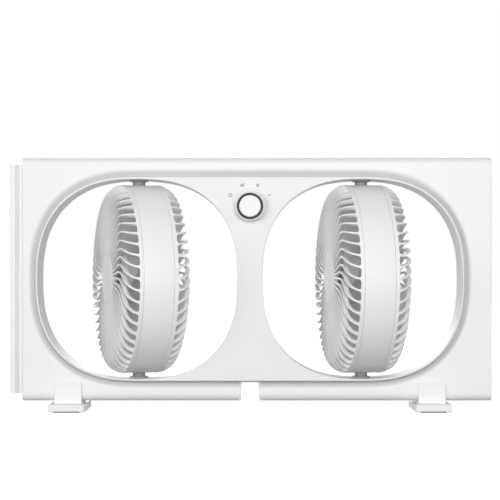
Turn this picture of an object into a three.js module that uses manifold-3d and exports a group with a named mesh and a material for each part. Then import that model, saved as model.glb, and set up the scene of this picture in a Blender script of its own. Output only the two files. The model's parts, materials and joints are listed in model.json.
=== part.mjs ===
// A twin window fan: a wide flat frame with two soft-square openings, each holding a round
// fan head (a pod) that turns on a vertical pivot, so that it blows in or out.
//
// Millimetres, +Z up, front faces -Y, +X to the right as seen from the front. The origin is
// under the middle of the fan, on the surface that its feet stand on.
import * as THREE from 'three';
import { mergeVertices } from 'three/addons/utils/BufferGeometryUtils.js';
import Module from 'manifold-3d';

const wasm = await Module();
wasm.setup();

// ---------------------------------------------------------------- driving dimensions

const GAP = 0.3; // between pieces that touch
const WALL = 2.5; // moulded walls of the frame

const OPENING_RADIUS = 125.8; // half the width of the soft-square opening
const OPENING_POWER = 2.45; // exponent of its curve; 2 would be a circle
const OPENING_PITCH = 31.4; // from one opening's edge to the other's
const LIP = 2.5; // wall of the opening's tunnel, seen as a thin lip

const VALLEY_WIDTH = 12; // the soft valley round the fascia
const VALLEY_DEPTH = 7; // at the fascia
const VALLEY_FOOT_WIDTH = 4.2; // where its slope starts
const VALLEY_FOOT_RISE = 1.4;
const FACE_ABOVE = 5.2; // flat of the frame's face, between the valley and the round edge
const FACE_BELOW = 3.7;
const FACE_LEFT = 5.6;
const FACE_RIGHT = 23.2;
const TOP_EDGE_RADIUS = 8;
const BOTTOM_EDGE_RADIUS = 10;
const FRAME_HALF_DEPTH = 22; // front face to the parting plane of the shells

const FASCIA_PROUD = 8; // the lip stands this far in front of the frame's face
const FASCIA_PLATE = 2.5;
const FLANGE_REACH = 2.2; // the fascia's flange behind the frame's inner edge
const FLANGE_THICKNESS = 2;

const NOTCH_WIDTH = 22.6;
const NOTCH_ROOF = 2.1;
const NOTCH_CORNER = 3;

const SLIDE_SHOWING_WIDTH = 17.6; // what shows of the side slide when it is pushed in
const SLIDE_REACH = 19.2; // above and below the opening
const SLIDE_HALF_DEPTH = 12;
const SLIDE_WALL = 2.2;
const SLIDE_CLEARANCE = 0.4; // to the fascia's flange when it is pushed in
const SLIDE_ARM_LENGTH = 90; // guide arms above and below the opening
const FINGER_GROOVE_WIDTH = 4.5;
const FINGER_GROOVE_DEPTH = 3;
const FINGER_GROOVE_INSET = 7.6;

const POD_CLEARANCE = 6.2; // between the pod and the opening, at the pivots
const BAND_HALF_WIDTH = 18.9; // the barrel between the two grilles
const BAND_WALL = 2.6;
const BAND_CROWN = 0.5;
const LEFT_POD_ANGLE = 74.1; // degrees from facing front
const RIGHT_POD_ANGLE = 82.2; // degrees from facing front

const RIBS = 52;
const RIB_WIDTH_AT_RIM = 2.8;
const RIB_WIDTH_AT_HUB = 2.2;
const RIB_DEPTH = 5.5;
const RIM_WIDTH = 1.5; // from the barrel's edge to where the shoulder starts
const SHOULDER_WIDTH = 18; // the ribs curve over between rim and flat
const SHOULDER_RISE = 21;
const SLOT_END_ANGLE = 80; // degrees down the shoulder, from the flat to the slots' outer ends
const SWEEP_ANGLE = 14.3; // degrees that a rib sweeps round on its way in
const SWEEP_WIDTH = 58; // it sweeps over this much of the radius
const HUB_RADIUS = 33.4;
const HUB_RIM = 1.8; // round the hub cap
const HUB_CAP_THICKNESS = 1.8;
const HUB_RECESS = 1.6;

const PIN_RADIUS = 8; // the stepped pivot between pod and frame
const PIN_JOURNAL_RADIUS = 4.5;
const PIN_SPIGOT_RADIUS = 5;
const PIN_SPIGOT_INSIDE = 4; // reaches this far inside the barrel
const PIN_BORE_RADIUS = 2.2; // the motor's wires pass through
const JOURNAL_CLEARANCE = 0.4;
const JOURNAL_INSET = 1.5; // ends this far below the bush's top
const BUSH_WALL = 3.1;
const BUSH_FLANGE_REACH = 4;
const BUSH_FLANGE_THICKNESS = 2.2;
const SEAT_WALL = 4; // collar on the tunnel that holds the bush
const SEAT_HEIGHT = 5;
const SEAT_SINK = 0.5; // of the collar, in the tunnel's wall

const MOTOR_RADIUS = 28;
const MOTOR_LENGTH = 35;
const MOTOR_WALL = 1.6;
const MOUNT_THICKNESS = 2.4;
const STATOR_LENGTH = 16;
const STATOR_WALL = 9;
const ROTOR_AIR_GAP = 1.2; // clears the corners of the faceted rotor as it turns
const SHAFT_RADIUS = 3;
const SHAFT_CLEARANCE = 0.2;
const SINTERED_BUSH_WALL = 3.8;
const SINTERED_BUSH_LENGTH = 7;
const SINTERED_BUSH_PROUD = 0.8; // outside the motor's shell

const TIP_CLEARANCE = 9.4; // between the blades and the barrel
const NOSE_CLEARANCE = 2.4; // between the impeller's nut and the front grille
const IMPELLER_HUB_CLEARANCE = 1.5; // in front of the motor
const IMPELLER_HUB_REACH = 2; // round the motor, inside the hub's wall
const IMPELLER_WALL = 2;
const BLADES = 5;
const BLADE_THICKNESS = 2;
const BLADE_ROOT_ANGLE = 42; // degrees from the plane of rotation
const BLADE_TIP_ANGLE = 22; // degrees from the plane of rotation
const BLADE_LEAN_ANGLE = 22; // degrees that the tip trails the root
const BLADE_ROOT_CHORD = 34;
const BLADE_TIP_CHORD = 78;
const BLADE_CAMBER = 3;
const BLADE_SETBACK = 3.9; // behind the middle of the impeller's hub
const NUT_WALL = 3.7;
const NUT_LENGTH = 5;
const SHAFT_INSET = 1; // the shaft's end lies this far inside the nut

const KNOB_DROP = 34.5; // below the top of the openings
const KNOB_RADIUS = 18.35;
const KNOB_DRAFT = 1.15; // how much narrower it is in front
const KNOB_LENGTH = 12.5;
const KNOB_WALL = 1.4;
const KNOB_RIM = 0.5; // outside the ring
const KNOB_RING_WIDTH = 2.7;
const KNOB_RING_RISE = 0.8;
const KNOB_CAP_RISE = 1.6;
const KNOB_FLOOR = 2;
const KNOB_POCKET = 3.4;
const KNOB_BOSS_WALL = 2.7;
const DISH_RIM = 4.85; // of the shallow dish, round the knob
const DISH_DEPTH = 0.9;
const SPINDLE_RADIUS = 3;
const SPINDLE_CLEARANCE = 1; // in the fascia's hole
const SWITCH_WIDTH = 26;
const SWITCH_DEPTH = 14;

const TAB_WIDTH = 34.5;
const TAB_THICKNESS = 3;
const TAB_RISE = 23.5; // above the frame's bottom edge
const TAB_CORNER = 4;
const FOOT_INSET = 37.8; // inward from the openings' outboard edges
const FOOT_SIDE = 5.25; // the base is this much wider than the tab, on each side
const FOOT_REACH = 24; // in front of the frame's face
const FOOT_HEIGHT = 10;
const FOOT_WALL = 2.5;
const CLIP_FLOOR = 2.7; // between the foot's base and the frame
const PAD_THICKNESS = 0.9;
const PAD_INSET = 6.5; // from the foot's sides
const PAD_DEPTH = 12;

const SCREW_INSET = 12.3; // inward from the openings' outboard edges
const SCREW_DROP = 0.8; // from the height of the openings' top and bottom
const SCREW_RADIUS = 1.5;
const SCREW_HEAD_RADIUS = 3.4;
const SCREW_HEAD_LENGTH = 3;
const SCREW_LENGTH = 30;
const SCREW_SINK = 1; // the head lies this far under the rear face
const THREAD_CLEARANCE = 0.1;
const BOSS_WALL = 3.5;
const BOSS_FLOOR = 2; // left solid in front of the screw

const TERMINAL_RISE = 34.8; // above the bottom of the openings
const TERMINAL_WIDTH = 34;
const TERMINAL_DEPTH = 13;
const TERMINAL_HEIGHT = 15;

const GLAND_INSET = 33; // from the frame's right end
const GLAND_RADIUS = 4.6;
const GLAND_WALL = 1.5;
const GLAND_FLANGE_REACH = 2.4;
const GLAND_FLANGE_THICKNESS = 1.8;
const GLAND_LENGTH = 9;

const PAST = 1; // how far a cutting shape runs past what it cuts

const QUARTER_STEPS = 8; // points on a quarter of an opening
const FLAT_CROWDING = 1.4; // draws them together where the opening is flat
const CORNER_STEPS = 3; // of a rounded corner
const ROUND_STEPS = 10; // sides of small round pieces
const SCREW_STEPS = 8;
const HUB_STEPS = 15;
const KNOB_STEPS = 20;
const BARREL_STEPS = 40;
const BLADE_SPANS = 3;
const BLADE_CHORDS = 3;

// ---------------------------------------------------------------- places that follow

const FRAME_LIFT = FOOT_HEIGHT + CLIP_FLOOR + GAP; // the feet hold the frame this high
const TUNNEL_OUTER = OPENING_RADIUS + LIP;
const VALLEY_OUTER = TUNNEL_OUTER + VALLEY_WIDTH;
const POD_X = OPENING_RADIUS + OPENING_PITCH / 2; // the two vertical pivots
const POD_Z = FRAME_LIFT + BOTTOM_EDGE_RADIUS + FACE_BELOW + VALLEY_OUTER;
const FRAME_TOP = POD_Z + VALLEY_OUTER + FACE_ABOVE + TOP_EDGE_RADIUS;
const FRAME_RIGHT = POD_X + VALLEY_OUTER + FACE_RIGHT;
const FRAME_LEFT = -POD_X - VALLEY_OUTER - FACE_LEFT;
const FASCIA_HALF_DEPTH = FRAME_HALF_DEPTH + FASCIA_PROUD;
const NOTCH_TOP = POD_Z - TUNNEL_OUTER - GAP - NOTCH_ROOF;
const SPLIT = GAP / 2; // each shell stops this short of the parting plane

const POD_RADIUS = OPENING_RADIUS - POD_CLEARANCE;
const POD_RIM_HALF_DEPTH = BAND_HALF_WIDTH + RIM_WIDTH;
const POD_FACE_HALF_DEPTH = POD_RIM_HALF_DEPTH + SHOULDER_RISE;
const FLAT_RADIUS = POD_RADIUS - SHOULDER_WIDTH; // where a grille's shoulder meets its flat
const HUB_CAP_RADIUS = HUB_RADIUS - HUB_RIM;
const RIB_BACK = POD_FACE_HALF_DEPTH - RIB_DEPTH; // inner face of a grille's flat

const IMPELLER_HUB_RADIUS = MOTOR_RADIUS + IMPELLER_HUB_REACH + IMPELLER_WALL;

const BUSH_BORE = PIN_JOURNAL_RADIUS + JOURNAL_CLEARANCE;
const BUSH_RADIUS = BUSH_BORE + BUSH_WALL;
const BUSH_FLANGE_RADIUS = BUSH_RADIUS + BUSH_FLANGE_REACH;
const BUSH_FLANGE_TOP = OPENING_RADIUS - GAP;
const BUSH_TOP = TUNNEL_OUTER + SEAT_HEIGHT - SEAT_SINK;

const KNOB_Z = POD_Z + OPENING_RADIUS - KNOB_DROP;
const SWITCH_FRONT = GAP + FASCIA_PLATE - FASCIA_HALF_DEPTH;
const OUTBOARD_X = POD_X + OPENING_RADIUS; // the openings' outboard edges
const GLAND_X = FRAME_RIGHT - GLAND_INSET;
const GLAND_Z = POD_Z - OPENING_RADIUS;
const SLIDE_HALF_HEIGHT = OPENING_RADIUS + SLIDE_REACH;
const UP = Math.PI / 2;

const rad = THREE.MathUtils.degToRad;

// ---------------------------------------------------------------- materials

const plastic = (color, roughness) =>
  new THREE.MeshStandardMaterial({ color, roughness, metalness: 0 });
const metal = (color, roughness) =>
  new THREE.MeshStandardMaterial({ color, roughness, metalness: 0.9 });

const WHITE = plastic(0xf2f3f4, 0.45);
const FASCIA_WHITE = plastic(0xeceded, 0.5);
const POD_WHITE = plastic(0xeeeff0, 0.5);
const CAP_GREY = plastic(0xd9dadb, 0.5);
const BLADE_WHITE = plastic(0xe4e5e6, 0.35);
const PIVOT_GREY = plastic(0x7d7e80, 0.6);
const RING_BLACK = plastic(0x1d1d1f, 0.35);
const SWITCH_BLACK = plastic(0x2b2b2d, 0.6);
const RUBBER = plastic(0x3a3a3a, 0.9);
const STEEL = metal(0xb9bbbd, 0.35);
const ZINC = metal(0xa4a7aa, 0.45);
const COPPER_WOUND = metal(0x9a5a34, 0.5);
const BRONZE = metal(0xa9834f, 0.5);

// ---------------------------------------------------------------- solids

// Merges shared corners, drops faces without area and turns the faces outward.
function closed(source) {
  const geometry = source.clone();
  geometry.deleteAttribute('normal');
  geometry.deleteAttribute('uv');
  const merged = mergeVertices(geometry, 1e-4);
  const index = merged.index.array;
  const position = merged.attributes.position;
  const faces = [];
  const a = new THREE.Vector3();
  const b = new THREE.Vector3();
  const c = new THREE.Vector3();
  let volume = 0;
  for (let i = 0; i < index.length; i += 3) {
    const [p, q, r] = index.slice(i, i + 3);
    if (p === q || q === r || r === p) continue;
    a.fromBufferAttribute(position, p);
    b.fromBufferAttribute(position, q);
    c.fromBufferAttribute(position, r);
    volume += a.dot(b.cross(c));
    faces.push(p, q, r);
  }
  if (volume < 0) faces.reverse();
  merged.setIndex(faces);
  return merged;
}

function toSolid(geometry) {
  const mesh = closed(geometry);
  return new wasm.Manifold(
    new wasm.Mesh({
      numProp: 3,
      vertProperties: mesh.attributes.position.array,
      triVerts: new Uint32Array(mesh.index.array),
    }),
  );
}

function toGeometry(solid) {
  const mesh = solid.getMesh();
  const geometry = new THREE.BufferGeometry();
  geometry.setAttribute('position', new THREE.BufferAttribute(mesh.vertProperties, mesh.numProp));
  geometry.setIndex([...mesh.triVerts]);
  return geometry;
}

const joined = (first, ...others) =>
  others.reduce((sum, other) => sum.add(toSolid(other)), toSolid(first));
const cut = (solid, ...others) =>
  others.reduce((rest, other) => rest.subtract(toSolid(other)), solid);

// A box between two corners.
function block(low, high) {
  const size = high.map((value, axis) => value - low[axis]);
  const middle = high.map((value, axis) => (value + low[axis]) / 2);
  return new THREE.BoxGeometry(...size).translate(...middle);
}

// An outline in the XZ plane, drawn out along Y.
function slab(points, holes, yFront, yBack) {
  const shape = new THREE.Shape(points);
  shape.holes = holes.map((hole) => new THREE.Path(hole));
  const depth = yBack - yFront;
  const geometry = new THREE.ExtrudeGeometry(shape, { depth, bevelEnabled: false });
  return geometry.rotateX(UP).translate(0, yBack, 0);
}

// A profile of [radius, height] pairs, closed on itself, turned round the Y axis.
function turned(profile, steps = ROUND_STEPS) {
  const points = [...profile, profile[0]].map(([r, y]) => new THREE.Vector2(r, y));
  return closed(new THREE.LatheGeometry(points, steps));
}

const rod = (radius, y0, y1, steps = ROUND_STEPS) =>
  turned([[0, y0], [radius, y0], [radius, y1], [0, y1]], steps);
const upright = (geometry) => geometry.rotateX(UP); // Y becomes Z

// A closed tube of quads through loops with equal numbers of points, from loop to loop and
// from the last one back to the first.
function ringSkin(loops) {
  const count = loops[0].length;
  const index = [];
  loops.forEach((loop, row) => {
    const next = (row + 1) % loops.length;
    loop.forEach((point, i) => {
      const j = (i + 1) % count;
      const [a, b] = [row * count + i, row * count + j];
      const [c, d] = [next * count + i, next * count + j];
      index.push(a, b, d, a, d, c);
    });
  });
  const geometry = new THREE.BufferGeometry();
  geometry.setAttribute('position', new THREE.Float32BufferAttribute(loops.flat(2), 3));
  geometry.setIndex(index);
  return closed(geometry);
}

// ---------------------------------------------------------------- outlines

// Directions of the normals along a quarter of the opening, closer together where it is flat.
const QUARTER_NORMALS = Array.from({ length: QUARTER_STEPS + 1 }, (_, i) => {
  const share = (2 * i) / QUARTER_STEPS - 1;
  const crowded = Math.sign(share) * (1 - (1 - Math.abs(share)) ** FLAT_CROWDING);
  return (Math.PI / 4) * (1 + crowded);
});

// The point of the soft square whose normal has this direction, moved outward by offset.
function openingPoint(normal, offset) {
  const [c, s] = [Math.cos(normal), Math.sin(normal)];
  const power = OPENING_POWER / (OPENING_POWER - 1);
  const reach = (Math.abs(c) ** power + Math.abs(s) ** power) ** (-1 / OPENING_POWER);
  const bend = 1 / (OPENING_POWER - 1);
  const x = Math.sign(c) * Math.abs(c) ** bend * reach * OPENING_RADIUS;
  const z = Math.sign(s) * Math.abs(s) ** bend * reach * OPENING_RADIUS;
  return [x + offset * c, z + offset * s];
}

const mirrored = (normals) => [...normals].reverse().map((normal) => -normal);
const RIGHT_NORMALS = [...mirrored(QUARTER_NORMALS.slice(1)), ...QUARTER_NORMALS];
const ALL_NORMALS = [
  ...RIGHT_NORMALS,
  ...RIGHT_NORMALS.slice(1, -1).map((normal) => normal + Math.PI),
];

const openingLoop = (centreX, offset) =>
  ALL_NORMALS.map((normal) => {
    const [x, z] = openingPoint(normal, offset);
    return new THREE.Vector2(centreX + x, POD_Z + z);
  });

// The fascia's outline: the outboard halves of both openings, joined by straight lines.
const fasciaLoop = (offset) =>
  [1, -1].flatMap((side) =>
    RIGHT_NORMALS.map((normal) => {
      const [x, z] = openingPoint(normal, LIP + offset);
      return new THREE.Vector2(side * (POD_X + x), POD_Z + side * z);
    }),
  );

// The frame's rectangle, with one point for each point of the fascia's outline.
function frameLoop(insets) {
  const corner = Math.PI / 4;
  const { sides, top, bottom } = insets;
  return [1, -1].flatMap((side) =>
    RIGHT_NORMALS.map((normal) => {
      const edge = side > 0 ? FRAME_RIGHT - sides : FRAME_LEFT + sides;
      const up = Math.max(-1, Math.min(1, (side * normal) / corner));
      const middle = (FRAME_TOP - top + FRAME_LIFT + bottom) / 2;
      const half = (FRAME_TOP - top - FRAME_LIFT - bottom) / 2;
      const along = Math.max(0, Math.abs(normal) / corner - 1);
      const x = edge + (side * POD_X - edge) * along;
      return new THREE.Vector2(x, middle + up * half);
    }),
  );
}

const atDepth = (loop, y) => loop.map((point) => [point.x, y, point.y]);

// ---------------------------------------------------------------- frame

// Points on the frame's rounded front edge, as shares of its radius: [inward, back].
const EDGE_ROUND = [0, 45, 90].map((angle) => [1 - Math.sin(rad(angle)), 1 - Math.cos(rad(angle))]);

function frameSkin() {
  const face = -FRAME_HALF_DEPTH;
  const inner = face + WALL;
  const clear = { sides: WALL, top: WALL, bottom: WALL };
  const rounded = EDGE_ROUND.map(([inward, back]) => {
    const insets = {
      sides: 0,
      top: TOP_EDGE_RADIUS * inward,
      bottom: BOTTOM_EDGE_RADIUS * inward,
    };
    return atDepth(frameLoop(insets), face + BOTTOM_EDGE_RADIUS * back);
  });
  const roundTop = {
    sides: WALL,
    top: TOP_EDGE_RADIUS,
    bottom: BOTTOM_EDGE_RADIUS,
  };
  return ringSkin([
    atDepth(fasciaLoop(GAP), face + VALLEY_DEPTH),
    atDepth(fasciaLoop(VALLEY_FOOT_WIDTH), face + VALLEY_DEPTH - VALLEY_FOOT_RISE),
    atDepth(fasciaLoop(VALLEY_WIDTH), face),
    ...rounded,
    atDepth(frameLoop({ sides: 0, top: 0, bottom: 0 }), -SPLIT),
    atDepth(frameLoop(clear), -SPLIT),
    atDepth(frameLoop(clear), face + BOTTOM_EDGE_RADIUS),
    atDepth(frameLoop(roundTop), inner),
    atDepth(fasciaLoop(VALLEY_WIDTH + WALL / 2), inner),
    atDepth(fasciaLoop(GAP), inner + VALLEY_DEPTH),
  ]);
}

// The notch below the frame, or the outside of the walls that line it.
function notchOutline(wall, roof, foot) {
  const half = NOTCH_WIDTH / 2 + wall;
  const top = NOTCH_TOP + roof;
  const shape = new THREE.Shape();
  shape.moveTo(-half, foot);
  shape.lineTo(half, foot);
  shape.lineTo(half, top - NOTCH_CORNER);
  shape.absarc(half - NOTCH_CORNER, top - NOTCH_CORNER, NOTCH_CORNER, 0, UP, false);
  shape.absarc(-half + NOTCH_CORNER, top - NOTCH_CORNER, NOTCH_CORNER, UP, 2 * UP, false);
  return shape.getPoints(CORNER_STEPS);
}

const screwPlaces = [-1, 1].flatMap((x) =>
  [-1, 1].map((z) => [
    x * (OUTBOARD_X - SCREW_INSET),
    POD_Z + z * (OPENING_RADIUS - SCREW_DROP),
  ]),
);
const postAt = (radius, y0, y1) => ([x, z]) => rod(radius, y0, y1).translate(x, 0, z);

// The shell in front of the parting plane; the rear one is its mirror image with its own posts.
function frameShell(postBore, ...rearCuts) {
  const face = -FRAME_HALF_DEPTH;
  const posts = screwPlaces.map(postAt(SCREW_RADIUS + BOSS_WALL, face + WALL / 2, -SPLIT));
  const lining = slab(
    notchOutline(WALL, NOTCH_ROOF, FRAME_LIFT),
    [],
    face + VALLEY_DEPTH / 2,
    -SPLIT,
  );
  const notch = slab(notchOutline(0, 0, FRAME_LIFT - PAST), [], face - PAST, PAST);
  const slideMouth = block(
    [FRAME_LEFT - PAST, -SLIDE_HALF_DEPTH - GAP, POD_Z - SLIDE_HALF_HEIGHT - GAP],
    [FRAME_LEFT + WALL + PAST, PAST, POD_Z + SLIDE_HALF_HEIGHT + GAP],
  );
  return cut(
    joined(frameSkin(), ...posts, lining),
    notch,
    slideMouth,
    ...screwPlaces.map(postBore),
    ...rearCuts,
  );
}

const toRear = (solid) => solid.mirror([0, 1, 0]);

function addFrame(fan) {
  const face = -FRAME_HALF_DEPTH;
  const blind = postAt(SCREW_RADIUS + THREAD_CLEARANCE, face + WALL + BOSS_FLOOR, PAST);
  add(fan, 'front_frame', toGeometry(frameShell(blind)), WHITE);
  const gland = rod(GLAND_RADIUS + GAP, face - PAST, PAST).translate(GLAND_X, 0, GLAND_Z);
  const sinks = screwPlaces.map(
    postAt(SCREW_HEAD_RADIUS + GAP, face - PAST, face + SCREW_SINK + SCREW_HEAD_LENGTH + GAP),
  );
  const through = postAt(SCREW_RADIUS + GAP, face - PAST, PAST);
  add(fan, 'rear_frame', toGeometry(toRear(frameShell(through, gland, ...sinks))), WHITE);
}

// ---------------------------------------------------------------- fascia and openings

// Half of the fascia: the plate with both openings, its rim, the tunnels to the parting plane,
// the flange behind the frame's inner edge and the seats of the pivot bushes.
function fasciaHalf(...cuts) {
  const front = -FASCIA_HALF_DEPTH;
  const flangeFront = -FRAME_HALF_DEPTH + WALL + VALLEY_DEPTH + GAP;
  const flangeBack = flangeFront + FLANGE_THICKNESS;
  const bothOpenings = (offset, y0, y1) =>
    [-POD_X, POD_X].map((x) => slab(openingLoop(x, offset), [], y0, y1));
  const pocket = cut(
    toSolid(slab(fasciaLoop(-LIP), [], front + FASCIA_PLATE, PAST)),
    ...bothOpenings(LIP, front, 2 * PAST),
  );
  const flange = slab(fasciaLoop(FLANGE_REACH), [], flangeFront, flangeBack);
  const notchRoom = block(
    [-NOTCH_WIDTH / 2 - WALL - PAST, flangeFront - PAST, FRAME_LIFT],
    [NOTCH_WIDTH / 2 + WALL + PAST, PAST, POD_Z - TUNNEL_OUTER],
  );
  const body = joined(
    slab(fasciaLoop(0), [], front, flangeBack),
    flange,
    ...bothOpenings(LIP, front, -SPLIT),
  );
  const seats = pivotPlaces().map(([x, z, up]) =>
    upright(rod(BUSH_RADIUS + SEAT_WALL, -SEAT_HEIGHT / 2, SEAT_HEIGHT / 2)).translate(
      x,
      0,
      z + up * (LIP - SEAT_SINK + SEAT_HEIGHT / 2),
    ),
  );
  // Each bush has a round hole, and a flat for its flange on the wall's inside.
  const reach = LIP + SEAT_HEIGHT + PAST;
  const bushHoles = pivotPlaces().flatMap(([x, z, up]) => [
    upright(rod(BUSH_RADIUS + GAP, -reach, reach)).translate(x, 0, z),
    upright(rod(BUSH_FLANGE_RADIUS + GAP, -LIP, LIP)).translate(x, 0, z - up * LIP),
  ]);
  const behind = block([FRAME_LEFT, -SPLIT, 0], [FRAME_RIGHT, FASCIA_HALF_DEPTH, FRAME_TOP]);
  return cut(
    cut(body.subtract(pocket), notchRoom).add(joined(...seats)),
    ...bothOpenings(0, front - PAST, PAST),
    ...bushHoles,
    behind,
    ...cuts,
  );
}

// Each pivot as [x, z at the tunnel wall, +1 above or -1 below].
function pivotPlaces() {
  return [-POD_X, POD_X].flatMap((x) => [1, -1].map((up) => [x, POD_Z + up * OPENING_RADIUS, up]));
}

function addFascias(fan) {
  const front = -FASCIA_HALF_DEPTH;
  const dish = rod(KNOB_RADIUS + DISH_RIM, front - PAST, front + DISH_DEPTH, KNOB_STEPS);
  const spindleHole = rod(SPINDLE_RADIUS + SPINDLE_CLEARANCE, front - PAST, 0);
  const knobCuts = [dish, spindleHole].map((hole) => hole.translate(0, 0, KNOB_Z));
  add(fan, 'front_fascia', toGeometry(fasciaHalf(...knobCuts)), FASCIA_WHITE);
  add(fan, 'rear_fascia', toGeometry(toRear(fasciaHalf())), FASCIA_WHITE);
}

// Stepped bush between the fascia halves, its flange inside the tunnel.
function pivotBush() {
  const flangeFoot = BUSH_FLANGE_TOP - BUSH_FLANGE_THICKNESS;
  return upright(
    turned([
      [BUSH_BORE, flangeFoot],
      [BUSH_FLANGE_RADIUS, flangeFoot],
      [BUSH_FLANGE_RADIUS, BUSH_FLANGE_TOP],
      [BUSH_RADIUS, BUSH_FLANGE_TOP],
      [BUSH_RADIUS, BUSH_TOP],
      [BUSH_BORE, BUSH_TOP],
    ]),
  );
}

function addBushes(fan) {
  for (const [side, x] of [['left', -POD_X], ['right', POD_X]]) {
    const upper = add(fan, `${side}_upper_bush`, pivotBush(), PIVOT_GREY);
    const lower = add(fan, `${side}_lower_bush`, pivotBush(), PIVOT_GREY);
    upper.position.set(x, 0, POD_Z);
    lower.position.set(x, 0, POD_Z);
    lower.rotation.x = Math.PI;
  }
}

// ---------------------------------------------------------------- side slide

function slideGeometry() {
  const left = FRAME_LEFT - SLIDE_SHOWING_WIDTH;
  const right = -POD_X - TUNNEL_OUTER - FLANGE_REACH - SLIDE_CLEARANCE;
  const depth = SLIDE_HALF_DEPTH;
  const grooveLeft = left + FINGER_GROOVE_INSET;
  const grooveRight = grooveLeft + FINGER_GROOVE_WIDTH;
  const half = [
    [left, depth],
    [grooveLeft, depth],
    [grooveLeft, depth - FINGER_GROOVE_DEPTH],
    [grooveRight, depth - FINGER_GROOVE_DEPTH],
    [grooveRight, depth],
    [right, depth],
    [right, depth - SLIDE_WALL],
    [grooveRight + SLIDE_WALL, depth - SLIDE_WALL],
    [grooveRight + SLIDE_WALL, depth - FINGER_GROOVE_DEPTH - SLIDE_WALL],
    [left + SLIDE_WALL, depth - FINGER_GROOVE_DEPTH - SLIDE_WALL],
  ];
  const other = half.map(([x, y]) => [x, -y]).reverse();
  const outline = [...half, ...other].map(([x, y]) => new THREE.Vector2(x, y));
  const channel = new THREE.ExtrudeGeometry(new THREE.Shape(outline), {
    depth: 2 * SLIDE_HALF_HEIGHT,
    bevelEnabled: false,
  }).translate(0, 0, POD_Z - SLIDE_HALF_HEIGHT);
  const ends = [1, -1].flatMap((up) => {
    const outer = POD_Z + up * SLIDE_HALF_HEIGHT;
    const inner = outer - up * SLIDE_WALL;
    const [low, high] = [Math.min(inner, outer), Math.max(inner, outer)];
    const thin = depth - FINGER_GROOVE_DEPTH - SLIDE_WALL / 2;
    return [
      block([left + SLIDE_WALL / 2, -thin, low], [right, thin, high]),
      block([grooveRight + SLIDE_WALL / 2, -depth, low], [right + SLIDE_ARM_LENGTH, depth, high]),
    ];
  });
  return toGeometry(joined(channel, ...ends));
}

// ---------------------------------------------------------------- feet

const FOOT_HALF_WIDTH = TAB_WIDTH / 2 + FOOT_SIDE;
const FOOT_HALF_DEPTH = FRAME_HALF_DEPTH + FOOT_REACH;

function footGeometry() {
  const inside = FRAME_HALF_DEPTH + GAP;
  const [half, top] = [TAB_WIDTH / 2, FRAME_LIFT + TAB_RISE];
  const tab = new THREE.Shape();
  tab.moveTo(-half, FOOT_HEIGHT - PAST);
  tab.lineTo(half, FOOT_HEIGHT - PAST);
  tab.lineTo(half, top - TAB_CORNER);
  tab.absarc(half - TAB_CORNER, top - TAB_CORNER, TAB_CORNER, 0, UP, false);
  tab.absarc(-half + TAB_CORNER, top - TAB_CORNER, TAB_CORNER, UP, 2 * UP, false);
  const reach = inside + TAB_THICKNESS;
  const clip = slab(tab.getPoints(CORNER_STEPS), [], -reach, reach);
  const between = block(
    [-half - PAST, -inside, FRAME_LIFT - GAP],
    [half + PAST, inside, top + PAST],
  );
  const base = block(
    [-FOOT_HALF_WIDTH, -FOOT_HALF_DEPTH, PAD_THICKNESS + GAP],
    [FOOT_HALF_WIDTH, FOOT_HALF_DEPTH, FOOT_HEIGHT],
  );
  const hollowEnd = FOOT_HALF_DEPTH - PAD_DEPTH - 2 * FOOT_WALL;
  const hollow = block(
    [-FOOT_HALF_WIDTH + FOOT_WALL, -hollowEnd, 0],
    [FOOT_HALF_WIDTH - FOOT_WALL, hollowEnd, FOOT_HEIGHT - FOOT_WALL],
  );
  return toGeometry(cut(joined(clip, base), between, hollow));
}

function addFeet(fan) {
  const footX = OUTBOARD_X - FOOT_INSET;
  const padWidth = 2 * (FOOT_HALF_WIDTH - PAD_INSET);
  for (const [side, x] of [['left', -footX], ['right', footX]]) {
    add(fan, `${side}_foot`, footGeometry(), WHITE).position.x = x;
    for (const [end, y] of [['front', -1], ['rear', 1]]) {
      const pad = new THREE.BoxGeometry(padWidth, PAD_DEPTH, PAD_THICKNESS);
      const place = y * (FOOT_HALF_DEPTH - FOOT_WALL - PAD_DEPTH / 2);
      add(fan, `${side}_foot_${end}_pad`, pad, RUBBER).position.set(x, place, PAD_THICKNESS / 2);
    }
  }
}

// ---------------------------------------------------------------- knob, switch, wiring

function addKnob(fan) {
  const floor = -FASCIA_HALF_DEPTH + DISH_DEPTH;
  const knob = new THREE.Group();
  knob.position.set(0, floor - GAP, KNOB_Z);
  fan.add(knob);
  const top = -KNOB_LENGTH;
  const pocket = top + KNOB_POCKET;
  const back = pocket + KNOB_FLOOR;
  const topRadius = KNOB_RADIUS - KNOB_DRAFT;
  const ringOuter = topRadius - KNOB_RIM - GAP;
  const ringInner = ringOuter - KNOB_RING_WIDTH;
  const bore = SPINDLE_RADIUS + GAP;
  const boss = bore + KNOB_BOSS_WALL;
  const skirt = turned([
    [bore, pocket],
    [ringOuter + GAP, pocket],
    [ringOuter + GAP, top],
    [topRadius, top],
    [KNOB_RADIUS, 0],
    [KNOB_RADIUS - KNOB_WALL, 0],
    [topRadius - KNOB_WALL, back],
    [boss, back],
    [boss, -GAP],
    [bore, -GAP],
  ], KNOB_STEPS);
  add(knob, 'knob_skirt', skirt, WHITE);
  const ring = turned([
    [ringInner, pocket - GAP],
    [ringOuter, pocket - GAP],
    [ringOuter, top - KNOB_RING_RISE],
    [ringInner, top - KNOB_RING_RISE],
  ], KNOB_STEPS);
  add(knob, 'knob_ring', ring, RING_BLACK);
  const cap = rod(ringInner - GAP, top - KNOB_CAP_RISE, pocket - GAP, KNOB_STEPS);
  add(knob, 'knob_cap', cap, WHITE);
  const spindleEnd = SWITCH_FRONT + SWITCH_DEPTH / 2 - GAP - knob.position.y;
  add(knob, 'knob_spindle', rod(SPINDLE_RADIUS, pocket, spindleEnd), STEEL);
}

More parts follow.
